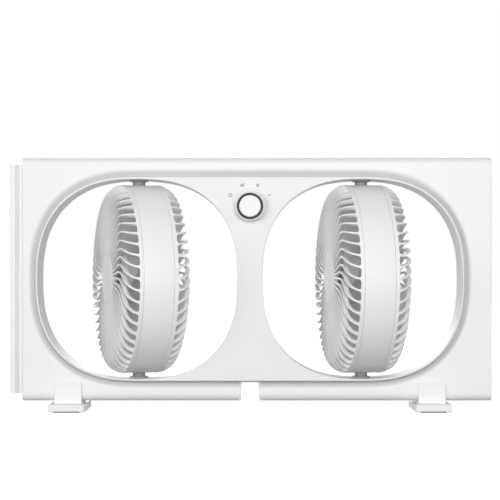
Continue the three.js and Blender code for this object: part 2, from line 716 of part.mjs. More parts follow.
function addElectrics(fan) {
  const front = SWITCH_FRONT;
  const half = SWITCH_WIDTH / 2;
  const body = block([-half, front, KNOB_Z - half], [half, front + SWITCH_DEPTH, KNOB_Z + half]);
  const socket = rod(SPINDLE_RADIUS + GAP, front - PAST, front + SWITCH_DEPTH / 2);
  const rotarySwitch = toGeometry(cut(toSolid(body), socket.translate(0, 0, KNOB_Z)));
  add(fan, 'rotary_switch', rotarySwitch, SWITCH_BLACK);

  const terminal = new THREE.BoxGeometry(TERMINAL_WIDTH, TERMINAL_DEPTH, TERMINAL_HEIGHT);
  const back = FASCIA_HALF_DEPTH - FASCIA_PLATE - GAP;
  const terminalZ = POD_Z - OPENING_RADIUS + TERMINAL_RISE;
  const terminalBlock = add(fan, 'terminal_block', terminal, CAP_GREY);
  terminalBlock.position.set(0, back - TERMINAL_DEPTH / 2, terminalZ);

  const plate = FRAME_HALF_DEPTH + GAP;
  const outer = plate + GLAND_FLANGE_THICKNESS;
  const glandBore = GLAND_RADIUS - GLAND_WALL;
  const gland = turned([
    [glandBore, outer],
    [GLAND_RADIUS + GLAND_FLANGE_REACH, outer],
    [GLAND_RADIUS + GLAND_FLANGE_REACH, plate],
    [GLAND_RADIUS, plate],
    [GLAND_RADIUS, outer - GLAND_LENGTH],
    [glandBore, outer - GLAND_LENGTH],
  ]);
  add(fan, 'cord_gland', gland, PIVOT_GREY).position.set(GLAND_X, 0, GLAND_Z);
}

function addScrews(fan) {
  const head = FRAME_HALF_DEPTH - SCREW_SINK;
  const names = ['left_lower', 'left_upper', 'right_lower', 'right_upper'];
  screwPlaces.forEach(([x, z], i) => {
    const screw = turned([
      [0, head - SCREW_LENGTH],
      [SCREW_RADIUS, head - SCREW_LENGTH + SCREW_RADIUS],
      [SCREW_RADIUS, head - SCREW_HEAD_LENGTH],
      [SCREW_HEAD_RADIUS, head - SCREW_HEAD_LENGTH],
      [SCREW_HEAD_RADIUS, head],
      [0, head],
    ], SCREW_STEPS);
    add(fan, `housing_screw_${names[i]}`, screw, ZINC).position.set(x, 0, z);
  });
}

// ---------------------------------------------------------------- grilles

// How far a rib has swept round, in radians, when it has come in to this radius.
function ribSweep(radius) {
  const share = Math.min(1, (POD_RADIUS - radius) / SWEEP_WIDTH);
  return rad(SWEEP_ANGLE) * Math.sin(UP * share);
}

// A place on a grille's outside: radius, height above the pod's middle plane, and the inward
// direction there as [radial, axial]. The shoulder is a quarter of an ellipse, and its angle
// grows from the flat down to the rim.
function shoulderPlace(angle) {
  const [across, along] = [Math.sin(angle), Math.cos(angle)];
  const normal = [across / SHOULDER_WIDTH, along / SHOULDER_RISE];
  return {
    r: FLAT_RADIUS + SHOULDER_WIDTH * across,
    w: POD_RIM_HALF_DEPTH + SHOULDER_RISE * along,
    inward: normal.map((part) => -part / Math.hypot(...normal)),
  };
}

function flatPlace(r) {
  return { r, w: POD_FACE_HALF_DEPTH, inward: [0, -1] };
}

// One grille as a single skin: an outer rim, wedge-shaped ribs and a hub plate with a recess.
// It faces -Y; w is the distance in front of the pod's middle plane.
function grilleGeometry() {
  const rimBack = BAND_HALF_WIDTH + GAP;
  const slotEnd = rad(SLOT_END_ANGLE);
  const shoulder = [slotEnd, slotEnd / 2, 0].map(shoulderPlace);
  const stations = [...shoulder, ...[POD_RADIUS - SWEEP_WIDTH, HUB_RADIUS].map(flatPlace)];
  const points = [];
  const faces = [];
  const at = (r, w, angle) => points.push([r * Math.cos(angle), -w, r * Math.sin(angle)]) - 1;
  const ribs = Array.from({ length: RIBS }, (_, i) => i);
  const next = (i) => (i + 1) % RIBS;
  const pitch = (2 * Math.PI) / RIBS;
  const loop = (r, w) => ribs.map((i) => at(r, w, i * pitch + ribSweep(r)));
  const quad = (a, b, c, d) => faces.push([a, b, c], [a, c, d]);

  const edges = stations.map(({ r, w, inward }) => {
    const share = (r - HUB_RADIUS) / (stations[0].r - HUB_RADIUS);
    const width = THREE.MathUtils.lerp(RIB_WIDTH_AT_HUB, RIB_WIDTH_AT_RIM, share);
    const half = width / 2 / r;
    const angle = (i) => i * pitch + ribSweep(r);
    return {
      left: ribs.map((i) => at(r, w, angle(i) - half)),
      right: ribs.map((i) => at(r, w, angle(i) + half)),
      low: ribs.map((i) => at(r + inward[0] * RIB_DEPTH, w + inward[1] * RIB_DEPTH, angle(i))),
    };
  });
  for (let k = 0; k + 1 < edges.length; k += 1) {
    const [outer, inner] = [edges[k], edges[k + 1]];
    for (const i of ribs) {
      quad(outer.left[i], outer.right[i], inner.right[i], inner.left[i]);
      quad(inner.right[i], outer.right[i], outer.low[i], inner.low[i]);
      quad(outer.left[i], inner.left[i], inner.low[i], outer.low[i]);
    }
  }

  // The rim, from the slots' ends round to the back of the first station.
  const { left, right, low } = edges[0];
  const rim = [
    loop(POD_RADIUS, POD_RIM_HALF_DEPTH),
    loop(POD_RADIUS, rimBack),
    loop(POD_RADIUS - BAND_WALL, rimBack),
  ];
  for (const i of ribs) {
    const j = next(i);
    quad(low[i], right[i], left[j], low[j]);
    faces.push([right[i], left[i], rim[0][i]], [left[j], right[i], rim[0][i]]);
    faces.push([left[j], rim[0][i], rim[0][j]]);
  }
  [...rim, low].forEach((back, k, all) => {
    if (k === 0) return;
    for (const i of ribs) quad(all[k - 1][next(i)], all[k - 1][i], back[i], back[next(i)]);
  });

  // The hub plate, with the cap's recess in its face.
  const hub = edges.at(-1);
  const recess = HUB_CAP_RADIUS + GAP;
  const lip = loop(recess, POD_FACE_HALF_DEPTH);
  const floor = loop(recess, POD_FACE_HALF_DEPTH - HUB_RECESS);
  const front = at(0, POD_FACE_HALF_DEPTH - HUB_RECESS, 0);
  const back = at(0, RIB_BACK, 0);
  for (const i of ribs) {
    const j = next(i);
    quad(hub.right[i], hub.low[i], hub.low[j], hub.left[j]);
    faces.push([hub.left[i], hub.right[i], lip[i]], [hub.right[i], hub.left[j], lip[i]]);
    faces.push([hub.left[j], lip[j], lip[i]]);
    quad(lip[i], lip[j], floor[j], floor[i]);
    faces.push([floor[i], floor[j], front], [hub.low[j], hub.low[i], back]);
  }
  const geometry = new THREE.BufferGeometry();
  geometry.setAttribute('position', new THREE.Float32BufferAttribute(points.flat(), 3));
  geometry.setIndex(faces.flat());
  return closed(geometry);
}

// ---------------------------------------------------------------- pods

function barrelGeometry() {
  const inside = POD_RADIUS - BAND_WALL;
  const band = turned([
    [inside, -BAND_HALF_WIDTH],
    [POD_RADIUS - BAND_CROWN, -BAND_HALF_WIDTH],
    [POD_RADIUS, 0],
    [POD_RADIUS - BAND_CROWN, BAND_HALF_WIDTH],
    [inside, BAND_HALF_WIDTH],
  ], BARREL_STEPS).rotateY(UP / BARREL_STEPS);
  const hole = upright(rod(PIN_SPIGOT_RADIUS + GAP, -2 * POD_RADIUS, 2 * POD_RADIUS));
  return toGeometry(cut(toSolid(band), hole));
}

// Stepped pin: spigot in the barrel, collar in the gap, journal in the bush; bored for wires.
function pivotPin() {
  const collarFoot = POD_RADIUS + GAP;
  const collarTop = BUSH_FLANGE_TOP - BUSH_FLANGE_THICKNESS - GAP;
  const journalTop = BUSH_TOP - JOURNAL_INSET;
  const spigotFoot = POD_RADIUS - BAND_WALL - PIN_SPIGOT_INSIDE;
  return upright(
    turned([
      [PIN_BORE_RADIUS, spigotFoot],
      [PIN_SPIGOT_RADIUS, spigotFoot],
      [PIN_SPIGOT_RADIUS, collarFoot],
      [PIN_RADIUS, collarFoot],
      [PIN_RADIUS, collarTop],
      [PIN_JOURNAL_RADIUS, collarTop],
      [PIN_JOURNAL_RADIUS, journalTop],
      [PIN_BORE_RADIUS, journalTop],
    ]),
  );
}

// Where the motor and the impeller lie along the pod's axis, from front (-) to rear (+).
const MOUNT_REAR = RIB_BACK - GAP;
const MOTOR_REAR = MOUNT_REAR - MOUNT_THICKNESS - GAP;
const MOTOR_FRONT = MOTOR_REAR - MOTOR_LENGTH;
const MOTOR_MIDDLE = (MOTOR_FRONT + MOTOR_REAR) / 2;
const HUB_REAR = MOTOR_FRONT - IMPELLER_HUB_CLEARANCE; // open end of the impeller's hub
const NUT_FRONT = NOSE_CLEARANCE - RIB_BACK;
const HUB_FRONT = NUT_FRONT + NUT_LENGTH + GAP;
const BLADE_PLANE = (HUB_FRONT + HUB_REAR) / 2 + BLADE_SETBACK;
const SINTERED_BORE = SHAFT_RADIUS + SHAFT_CLEARANCE;
const SINTERED_BUSH_RADIUS = SINTERED_BORE + SINTERED_BUSH_WALL;
const NUT_RADIUS = SHAFT_RADIUS + GAP + NUT_WALL;

// Half of the motor's can: a cup whose floor holds a sintered bush.
function motorShell(end, open) {
  const inward = Math.sign(open - end);
  const seat = SINTERED_BUSH_RADIUS + GAP;
  const floor = end + inward * MOTOR_WALL;
  return turned([
    [seat, end],
    [MOTOR_RADIUS, end],
    [MOTOR_RADIUS, open],
    [MOTOR_RADIUS - MOTOR_WALL, open],
    [MOTOR_RADIUS - MOTOR_WALL, floor],
    [seat, floor],
  ]);
}

function bladeGeometry() {
  const rootRadius = IMPELLER_HUB_RADIUS - IMPELLER_WALL / 2;
  const tipRadius = POD_RADIUS - BAND_WALL - TIP_CLEARANCE;
  const { lerp } = THREE.MathUtils;
  const rows = [];
  for (let i = 0; i <= BLADE_SPANS; i += 1) {
    const share = i / BLADE_SPANS;
    const r = lerp(rootRadius, tipRadius, share);
    const chord = lerp(BLADE_ROOT_CHORD, BLADE_TIP_CHORD, Math.sqrt(share));
    const pitch = rad(lerp(BLADE_ROOT_ANGLE, BLADE_TIP_ANGLE, share));
    const lean = rad(BLADE_LEAN_ANGLE) * share;
    const top = [];
    const bottom = [];
    for (let j = 0; j <= BLADE_CHORDS; j += 1) {
      const along = (j / BLADE_CHORDS - 0.5) * chord;
      const angle = lean + (along * Math.cos(pitch)) / r;
      const bow = BLADE_CAMBER * Math.sin((Math.PI * j) / BLADE_CHORDS);
      const y = BLADE_PLANE + along * Math.sin(pitch) + bow;
      const place = (offset) => [r * Math.cos(angle), y + offset, r * Math.sin(angle)];
      top.push(place(BLADE_THICKNESS / 2));
      bottom.unshift(place(-BLADE_THICKNESS / 2));
    }
    rows.push([...top, ...bottom]);
  }
  return loftSkin(rows);
}

// A closed skin through open rows of equal length, with flat ends.
function loftSkin(rows) {
  const count = rows[0].length;
  const index = [];
  for (let row = 0; row + 1 < rows.length; row += 1) {
    for (let i = 0; i < count; i += 1) {
      const j = (i + 1) % count;
      const [a, b] = [row * count + i, row * count + j];
      index.push(a, b, b + count, a, b + count, a + count);
    }
  }
  const last = (rows.length - 1) * count;
  for (let i = 0; i + 1 < count / 2; i += 1) {
    const [a, b, c, d] = [i, i + 1, count - 2 - i, count - 1 - i];
    index.push(d, c, b, d, b, a);
    index.push(last + a, last + b, last + c, last + a, last + c, last + d);
  }
  const geometry = new THREE.BufferGeometry();
  geometry.setAttribute('position', new THREE.Float32BufferAttribute(rows.flat(2), 3));
  geometry.setIndex(index);
  return closed(geometry);
}

function impellerGeometry() {
  const wall = IMPELLER_WALL;
  const radius = IMPELLER_HUB_RADIUS;
  const hub = turned([
    [SHAFT_RADIUS + GAP, HUB_FRONT],
    [radius - 2 * wall, HUB_FRONT],
    [radius, HUB_FRONT + 2 * wall],
    [radius, HUB_REAR],
    [radius - wall, HUB_REAR],
    [radius - wall, HUB_FRONT + 2 * wall],
    [NUT_RADIUS, HUB_FRONT + 2 * wall],
    [NUT_RADIUS, HUB_REAR - 2 * wall],
    [SHAFT_RADIUS + GAP, HUB_REAR - 2 * wall],
  ], HUB_STEPS);
  const blades = Array.from({ length: BLADES }, (_, i) =>
    bladeGeometry().rotateY((2 * Math.PI * i) / BLADES),
  );
  return toGeometry(joined(hub, ...blades));
}

function addPod(fan, side, x, turn) {
  const pod = new THREE.Group();
  pod.position.set(x, 0, POD_Z);
  pod.rotation.z = -rad(turn);
  fan.add(pod);
  const piece = (name, geometry, material) => add(pod, `${side}_${name}`, geometry, material);

  piece('barrel', barrelGeometry(), POD_WHITE);
  piece('front_grille', grilleGeometry(), POD_WHITE);
  piece('rear_grille', toGeometry(toRear(toSolid(grilleGeometry()))), POD_WHITE);
  const capBack = POD_FACE_HALF_DEPTH - HUB_RECESS + GAP;
  const capFront = capBack + HUB_CAP_THICKNESS;
  piece('front_hub_cap', rod(HUB_CAP_RADIUS, -capFront, -capBack, KNOB_STEPS), CAP_GREY);
  piece('rear_hub_cap', rod(HUB_CAP_RADIUS, capBack, capFront, KNOB_STEPS), CAP_GREY);
  piece('upper_pivot_pin', pivotPin(), PIVOT_GREY);
  piece('lower_pivot_pin', pivotPin(), PIVOT_GREY).rotation.x = Math.PI;

  const mount = turned([
    [SINTERED_BUSH_RADIUS, MOUNT_REAR - MOUNT_THICKNESS],
    [MOTOR_RADIUS, MOUNT_REAR - MOUNT_THICKNESS],
    [MOTOR_RADIUS, MOUNT_REAR],
    [SINTERED_BUSH_RADIUS, MOUNT_REAR],
  ]);
  piece('motor_mount', mount, ZINC);
  piece('motor_rear_shell', motorShell(MOTOR_REAR, MOTOR_MIDDLE + SPLIT), ZINC);
  piece('motor_front_shell', motorShell(MOTOR_FRONT, MOTOR_MIDDLE - SPLIT), ZINC);
  const statorRadius = MOTOR_RADIUS - MOTOR_WALL - GAP;
  const windingBore = statorRadius - STATOR_WALL;
  const half = STATOR_LENGTH / 2;
  const stator = turned([
    [windingBore, MOTOR_MIDDLE - half],
    [statorRadius, MOTOR_MIDDLE - half],
    [statorRadius, MOTOR_MIDDLE + half],
    [windingBore, MOTOR_MIDDLE + half],
  ]);
  piece('motor_stator', stator, COPPER_WOUND);
  for (const [end, inward, y] of [['front', 1, MOTOR_FRONT], ['rear', -1, MOTOR_REAR]]) {
    const start = y - inward * SINTERED_BUSH_PROUD;
    const stop = start + inward * SINTERED_BUSH_LENGTH;
    const bush = turned([
      [SINTERED_BORE, start],
      [SINTERED_BUSH_RADIUS, start],
      [SINTERED_BUSH_RADIUS, stop],
      [SINTERED_BORE, stop],
    ]);
    piece(`motor_${end}_bush`, bush, BRONZE);
  }

  piece('impeller', impellerGeometry(), BLADE_WHITE);
  const rotorRadius = windingBore - ROTOR_AIR_GAP;
  const shaftEnd = MOTOR_REAR - MOTOR_WALL - GAP;
  piece('motor_shaft', rod(SHAFT_RADIUS, NUT_FRONT + SHAFT_INSET, shaftEnd), STEEL);
  const rotor = turned([
    [SHAFT_RADIUS + GAP, MOTOR_MIDDLE - half],
    [rotorRadius, MOTOR_MIDDLE - half],
    [rotorRadius, MOTOR_MIDDLE + half],
    [SHAFT_RADIUS + GAP, MOTOR_MIDDLE + half],
  ]);
  piece('motor_rotor', rotor, STEEL);
  const nut = turned([
    [SHAFT_RADIUS + GAP, NUT_FRONT],
    [NUT_RADIUS, NUT_FRONT],
    [NUT_RADIUS, NUT_FRONT + NUT_LENGTH],
    [SHAFT_RADIUS + GAP, NUT_FRONT + NUT_LENGTH],
  ]);
  piece('impeller_nut', nut, BLADE_WHITE);
}

// ---------------------------------------------------------------- the fan

function add(parent, name, geometry, material) {
  const mesh = new THREE.Mesh(geometry, material);
  mesh.name = name;
  parent.add(mesh);
  return mesh;
}

const fan = new THREE.Group();
addFrame(fan);
addFascias(fan);
addBushes(fan);
add(fan, 'side_slide', slideGeometry(), WHITE);
addFeet(fan);
addKnob(fan);
addElectrics(fan);
addScrews(fan);
addPod(fan, 'left', -POD_X, LEFT_POD_ANGLE);
addPod(fan, 'right', POD_X, RIGHT_POD_ANGLE);

export default fan;
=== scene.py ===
"""Looks of a twin window fan: fine meshes, materials, light and camera.

Shapes are written in millimetres and become metres in make_mesh. Front faces -Y, +X is right.
"""
import json
import math

import bmesh
import bpy
import numpy as np
from mathutils import Matrix, Vector


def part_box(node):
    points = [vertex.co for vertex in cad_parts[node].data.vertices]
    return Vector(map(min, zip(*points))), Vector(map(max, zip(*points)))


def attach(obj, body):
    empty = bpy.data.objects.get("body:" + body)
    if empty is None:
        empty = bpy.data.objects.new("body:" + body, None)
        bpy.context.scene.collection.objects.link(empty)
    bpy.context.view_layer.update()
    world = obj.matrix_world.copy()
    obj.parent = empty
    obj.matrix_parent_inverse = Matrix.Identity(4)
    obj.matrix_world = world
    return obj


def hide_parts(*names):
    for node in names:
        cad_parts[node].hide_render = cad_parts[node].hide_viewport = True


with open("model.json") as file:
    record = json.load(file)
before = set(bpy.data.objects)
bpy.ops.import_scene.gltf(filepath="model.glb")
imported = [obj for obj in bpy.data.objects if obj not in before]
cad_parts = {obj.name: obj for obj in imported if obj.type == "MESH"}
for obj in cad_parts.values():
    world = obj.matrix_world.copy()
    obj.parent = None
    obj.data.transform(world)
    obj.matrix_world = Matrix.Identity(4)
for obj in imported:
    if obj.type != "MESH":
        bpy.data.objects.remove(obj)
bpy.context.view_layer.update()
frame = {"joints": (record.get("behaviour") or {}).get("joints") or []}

MM = 0.001


def box_mm(node):
    low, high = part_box(node)
    return [v / MM for v in low], [v / MM for v in high]


# ---- sizes, in millimetres

GAP = 0.3
WALL = 2.5
OPENING_RADIUS = 125.8
OPENING_POWER = 2.45
LIP = 2.5
LIP_ROUND = 0.9
VALLEY_WIDTH = 12
VALLEY_DEPTH = 7
VALLEY_FLOOR = 8.3
VALLEY_BEND = 0.45
TOP_EDGE_RADIUS = 8
BOTTOM_EDGE_RADIUS = 10
SIDE_EDGE_ROUND = 1.2
FASCIA_PLATE = 2.5
FLANGE_REACH = 2.2
FLANGE_THICKNESS = 2
NOTCH_WIDTH = 22.6
NOTCH_ROOF = 2.1
NOTCH_CORNER = 3
NOTCH_EDGE = 0.8
SLIDE_HALF_DEPTH = 12
PARTING_CHAMFER = 0.35

FRAME_LOW, FRAME_HIGH = box_mm("front_frame")
FRAME_LEFT, FRAME_RIGHT = FRAME_LOW[0], FRAME_HIGH[0]
FRAME_BOTTOM, FRAME_TOP = FRAME_LOW[2], FRAME_HIGH[2]
FRAME_FACE = FRAME_LOW[1]
SPLIT = -FRAME_HIGH[1]
FASCIA_FACE = box_mm("front_fascia")[0][1]
SLIDE_LOW, SLIDE_HIGH = box_mm("side_slide")

JOINTS = {joint["name"]: joint for joint in frame["joints"]}
POD_X = JOINTS["right_pod_turn"]["pos_m"][0] / MM
POD_Z = JOINTS["right_pod_turn"]["pos_m"][2] / MM
POD_TURN = {"left": 74.1, "right": 82.2}
TUNNEL_OUTER = OPENING_RADIUS + LIP
NOTCH_TOP = POD_Z - TUNNEL_OUTER - GAP - NOTCH_ROOF

POD_RADIUS = 119.5
BAND_HALF_WIDTH = 18.9
BAND_WALL = 2.6
BAND_CROWN = 0.5
RIM_HALF_DEPTH = BAND_HALF_WIDTH + 1.5
SHOULDER_WIDTH = 18
SHOULDER_RISE = 21
FACE_HALF_DEPTH = RIM_HALF_DEPTH + SHOULDER_RISE
FLAT_RADIUS = POD_RADIUS - SHOULDER_WIDTH
SLOT_END_ANGLE = 80
SEAM_GAP = 0.2
RIBS = 52
RIB_WIDTH_AT_RIM = 2.8
RIB_WIDTH_AT_HUB = 2.2
RIB_DEPTH = 5.5
SWEEP_ANGLE = 14.3
SWEEP_WIDTH = 58
HUB_RADIUS = 33.4
HUB_CAP_RADIUS = HUB_RADIUS - 3
HUB_CAP_THICKNESS = 1.8
HUB_RECESS = 1.6

# ---- materials


def linear_colour(colour):
    """Linear RGBA of an sRGB grey or triple from 0 to 255."""
    triple = (colour,) * 3 if isinstance(colour, (int, float)) else colour
    return (*[((v / 255 + 0.055) / 1.055) ** 2.4 for v in triple], 1)


def add_node(tree, kind, settings={}, links={}, values={}):
    """A new node: its settings first, then the values of its inputs and the links to them."""
    node = tree.nodes.new("ShaderNode" + kind)
    for key, value in settings.items():
        setattr(node, key, value)
    for key, value in values.items():
        node.inputs[key].default_value = value
    for key, source in links.items():
        tree.links.new(source, node.inputs[key])
    return node


def maths(tree, operation, *terms, **settings):
    """The result of a sum on sockets."""
    links = dict(enumerate(terms))
    return add_node(tree, "Math", {"operation": operation, **settings}, links).outputs[0]


def new_material(name, colour, roughness, metallic=0.0):
    material = bpy.data.materials.new(name)
    material.use_nodes = True
    shader = material.node_tree.nodes["Principled BSDF"]
    shader.inputs["Base Color"].default_value = linear_colour(colour)
    shader.inputs["Roughness"].default_value = roughness
    shader.inputs["Metallic"].default_value = metallic
    return material, shader


def object_place(tree):
    return add_node(tree, "TexCoord").outputs["Object"]


def add_texture(material, kind, scale, **values):
    tree = material.node_tree
    return add_node(tree, kind, {}, {"Vector": object_place(tree)}, {"Scale": scale, **values})


def drive(material, shader, socket, texture, kind, into, out, values={}):
    """Drives a socket of the shader by a texture, through one node of this kind."""
    tree = material.node_tree
    node = add_node(tree, kind, {}, {into: texture.outputs["Fac"]}, values)
    tree.links.new(node.outputs[out], shader.inputs[socket])
    return node


def link_gloss(material, shader, texture, low, high):
    values = {"To Min": low, "To Max": high}
    drive(material, shader, "Roughness", texture, "MapRange", "Value", "Result", values)


def link_bump(material, shader, texture, strength, distance):
    values = {"Strength": strength, "Distance": distance}
    drive(material, shader, "Normal", texture, "Bump", "Height", "Normal", values)


def link_tint(material, shader, texture, dark, light):
    """Lets a texture vary the base colour slightly, between two sRGB greys or triples."""
    ramp = drive(material, shader, "Base Color", texture, "ValToRGB", "Fac", "Color")
    for element, colour in zip(ramp.color_ramp.elements, (dark, light)):
        element.color = linear_colour(colour)


SMOOTH = {"interpolation_type": "SMOOTHSTEP"}
# Painted shade: the recess round the fascia gets this greyer base colour in place of the shade that
# falls there.
RECESS_SHADE_GREY = 220
RECESS_SHADE_FADE = (1.2, 1)  # past the recess, where its grey starts and is full


def moulded_plastic(name, colour, roughness, grain=0.10):
    """Satin moulded plastic: a fine spark-eroded grain and slow changes of gloss."""
    material, shader = new_material(name, colour, roughness)
    cloud = add_texture(material, "TexNoise", 14, Detail=3)
    link_gloss(material, shader, cloud, roughness - 0.04, roughness + 0.05)
    link_tint(material, shader, cloud, colour - 2, colour + 1)
    fine = add_texture(material, "TexNoise", 2600, Detail=2)
    link_bump(material, shader, fine, grain, 0.00005)
    shader.inputs["IOR"].default_value = 1.46
    return material


def paint_recess_shade(material, shader, colour):
    """Paints shade into the moulded recess round the fascia, which lies behind the frame's flat
    faces: its base colour turns greyer there, in place of the shade that falls in it.
    """
    tree = material.node_tree
    x, y, z = add_node(tree, "SeparateXYZ", {}, {"Vector": object_place(tree)}).outputs

    def fade(source, start, stop):
        """0 at the first distance from the middle, and 1 at the second."""
        links = {"Value": maths(tree, "ABSOLUTE", source)}
        values = {"From Min": start * MM, "From Max": stop * MM}
        return add_node(tree, "MapRange", SMOOTH, links, values).outputs["Result"]

    height = add_node(tree, "Math", {"operation": "SUBTRACT"}, {0: z}, {1: POD_Z * MM})
    reach = TUNNEL_OUTER + VALLEY_WIDTH
    far, near = reach + RECESS_SHADE_FADE[0], reach + RECESS_SHADE_FADE[1]
    share = fade(y, -FRAME_FACE - 0.05, -FRAME_FACE - VALLEY_DEPTH / 2)
    share = maths(tree, "MULTIPLY", share, fade(height.outputs[0], far, near))
    share = maths(tree, "MULTIPLY", share, fade(x, POD_X + far, POD_X + near))
    # The painted shade is full in the recess and fades out onto the flat faces.
    links = {"Factor": share, "A": shader.inputs["Base Color"].links[0].from_socket}
    mix = add_node(tree, "Mix", {"data_type": "RGBA"}, links, {"B": linear_colour(colour)})
    tree.links.new(mix.outputs["Result"], shader.inputs["Base Color"])


def rubber():
    material, shader = new_material("rubber", 52, 0.85)
    fine = add_texture(material, "TexNoise", 900, Detail=4)
    link_bump(material, shader, fine, 0.4, 0.0002)
    link_tint(material, shader, fine, 42, 60)
    return material


def brushed_metal(name, colour, roughness):
    material, shader = new_material(name, colour, roughness, metallic=1.0)
    streaks = add_texture(material, "TexNoise", 420, Detail=5, Roughness=0.7)
    link_gloss(material, shader, streaks, roughness - 0.1, roughness + 0.12)
    link_bump(material, shader, streaks, 0.15, 0.00005)
    return material


def winding():
    material, shader = new_material("winding", (150, 84, 48), 0.4, metallic=0.7)
    wires = add_texture(material, "TexWave", 420, Distortion=1.5, Detail=2)
    link_bump(material, shader, wires, 0.9, 0.0003)
    link_tint(material, shader, wires, (110, 55, 28), (178, 108, 62))
    return material


PLASTICS = {
    "frame_white": (243, 0.42),
    "fascia_white": (238, 0.46),
    "pod_white": (243, 0.42),
    "cap_grey": (243, 0.45),
    "blade_white": (208, 0.3, 0.04),
    "pivot_grey": (172, 0.5),
    "ring_black": (18, 0.5),
    "switch_black": (44, 0.55),
}
METALS = {"steel": (196, 0.32), "zinc_steel": (172, 0.42), "bronze": ((176, 140, 88), 0.45)}
MATERIALS = {name: moulded_plastic(name, *look) for name, look in PLASTICS.items()}
MATERIALS.update({name: brushed_metal(name, *look) for name, look in METALS.items()})
MATERIALS.update(rubber_black=rubber(), winding=winding())
# The frame shells' white plastic, with painted shade greying the recess round the fascia.
FRAME_WHITE_PAINTED_SHADE = moulded_plastic("frame_white_painted_shade", 243, 0.42)
paint_recess_shade(FRAME_WHITE_PAINTED_SHADE, FRAME_WHITE_PAINTED_SHADE.node_tree.nodes["Principled BSDF"], RECESS_SHADE_GREY)
MARK_GREY = moulded_plastic("mark_grey", 92, 0.5)

# ---- mesh tools


def make_mesh(name, points, faces):
    """A mesh in metres from points in millimetres, with its faces turned outward."""
    mesh = bpy.data.meshes.new(name)
    mesh.from_pydata((np.array(points, float) * MM).tolist(), [], faces)
    work = bmesh.new()
    work.from_mesh(mesh)
    bmesh.ops.remove_doubles(work, verts=work.verts, dist=1e-7)
    bmesh.ops.recalc_face_normals(work, faces=work.faces)
    if work.calc_volume(signed=True) < 0:
        bmesh.ops.reverse_faces(work, faces=work.faces)
    work.to_mesh(mesh)
    work.free()
    return mesh


def add_object(name, data):
    obj = bpy.data.objects.new(name, data)
    bpy.context.scene.collection.objects.link(obj)
    return obj


def make_object(name, points, faces):
    return add_object(name, make_mesh(name, points, faces))


def combine(target, cutters, operation):
    """Cuts the cutters from the target, or joins them to it, and removes the cutters."""
    for cutter in cutters:
        modifier = target.modifiers.new("combine", "BOOLEAN")
        modifier.operation = operation
        modifier.solver = "EXACT"
        modifier.object = cutter
    graph = bpy.context.evaluated_depsgraph_get()
    result = bpy.data.meshes.new_from_object(target.evaluated_get(graph))
    target.modifiers.clear()
    target.data = result
    for cutter in cutters:
        bpy.data.objects.remove(cutter)
    return target


def finish_piece(obj, slot, body, replaces, sharp=32, bevel=0, material=None):
    """Gives a piece its shading, material and body, and hides the imported node that it stands for.
    """
    mesh = obj.data
    mesh.polygons.foreach_set("use_smooth", [True] * len(mesh.polygons))
    mesh.set_sharp_from_angle(angle=math.radians(sharp))
    if bevel:
        rounding = obj.modifiers.new("rounded edges", "BEVEL")
        rounding.width = bevel * MM
        rounding.segments = 3
        rounding.limit_method = "ANGLE"
        rounding.angle_limit = math.radians(40)
        rounding.harden_normals = True
    weighting = obj.modifiers.new("flat faces", "WEIGHTED_NORMAL")
    weighting.keep_sharp = True
    mesh.materials.clear()
    mesh.materials.append(material or MATERIALS[slot])
    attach(obj, body)
    if replaces:
        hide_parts(replaces)


def ring_faces(rows, count, wrap=True):
    """Quads between rows of points, each row a closed loop."""
    faces = []
    for row in range(rows if wrap else rows - 1):
        following = (row + 1) % rows
        for i in range(count):
            j = (i + 1) % count
            a, b = row * count + i, row * count + j
            faces.append((a, b, following * count + j, following * count + i))
    return faces


def ring_object(name, loops):
    """A closed tube of quads through loops, and from the last one back to the first."""
    count = len(loops[0])
    return make_object(name, [p for loop in loops for p in loop], ring_faces(len(loops), count))


def solid_faces(rows, count):
    """Faces through rows of points, with the two ends closed."""
    ends = [tuple(range(row * count, (row + 1) * count)) for row in (0, rows - 1)]
    return ring_faces(rows, count, wrap=False) + ends


def lofted_solid(name, loops):
    points = [p for loop in loops for p in loop]
    return make_object(name, points, solid_faces(len(loops), len(loops[0])))


def prism(name, loop, *depths):
    return lofted_solid(name, [at_depth(loop, y) for y in depths])


def shift_faces(faces, start):
    return [tuple(start + v for v in face) for face in faces]


def at_depth(loop, y):
    return [(x, y, z) for x, z in loop]


def circle(radius, centre=(0, 0), steps=96):
    angles = np.linspace(0, 2 * math.pi, steps, endpoint=False)
    return [(centre[0] + radius * math.cos(a), centre[1] + radius * math.sin(a)) for a in angles]


def block(name, low, high):
    corners = [(low[0], low[2]), (high[0], low[2]), (high[0], high[2]), (low[0], high[2])]
    return prism(name, corners, low[1], high[1])


def rod(name, radius, y0, y1, x, z, steps=48):
    return prism(name, circle(radius, (x, z), steps), y0, y1)


def arc(centre, radius, start, stop, steps=5):
    """Points of a rounded corner in a profile, from one angle in degrees to another."""
    angles = np.radians(np.linspace(start, stop, steps))
    return [(centre[0] + radius * math.cos(a), centre[1] + radius * math.sin(a)) for a in angles]


def turned(name, profile, steps=96):
    """A closed profile of (radius, y) turned round the Y axis."""
    angles = np.linspace(0, 2 * math.pi, steps, endpoint=False)
    loops = [[(r * math.cos(a), y, r * math.sin(a)) for a in angles] for r, y in profile]
    return ring_object(name, loops)


def ring_corners(inner, outer, y0, y1):
    return [(inner, y0), (outer, y0), (outer, y1), (inner, y1)]


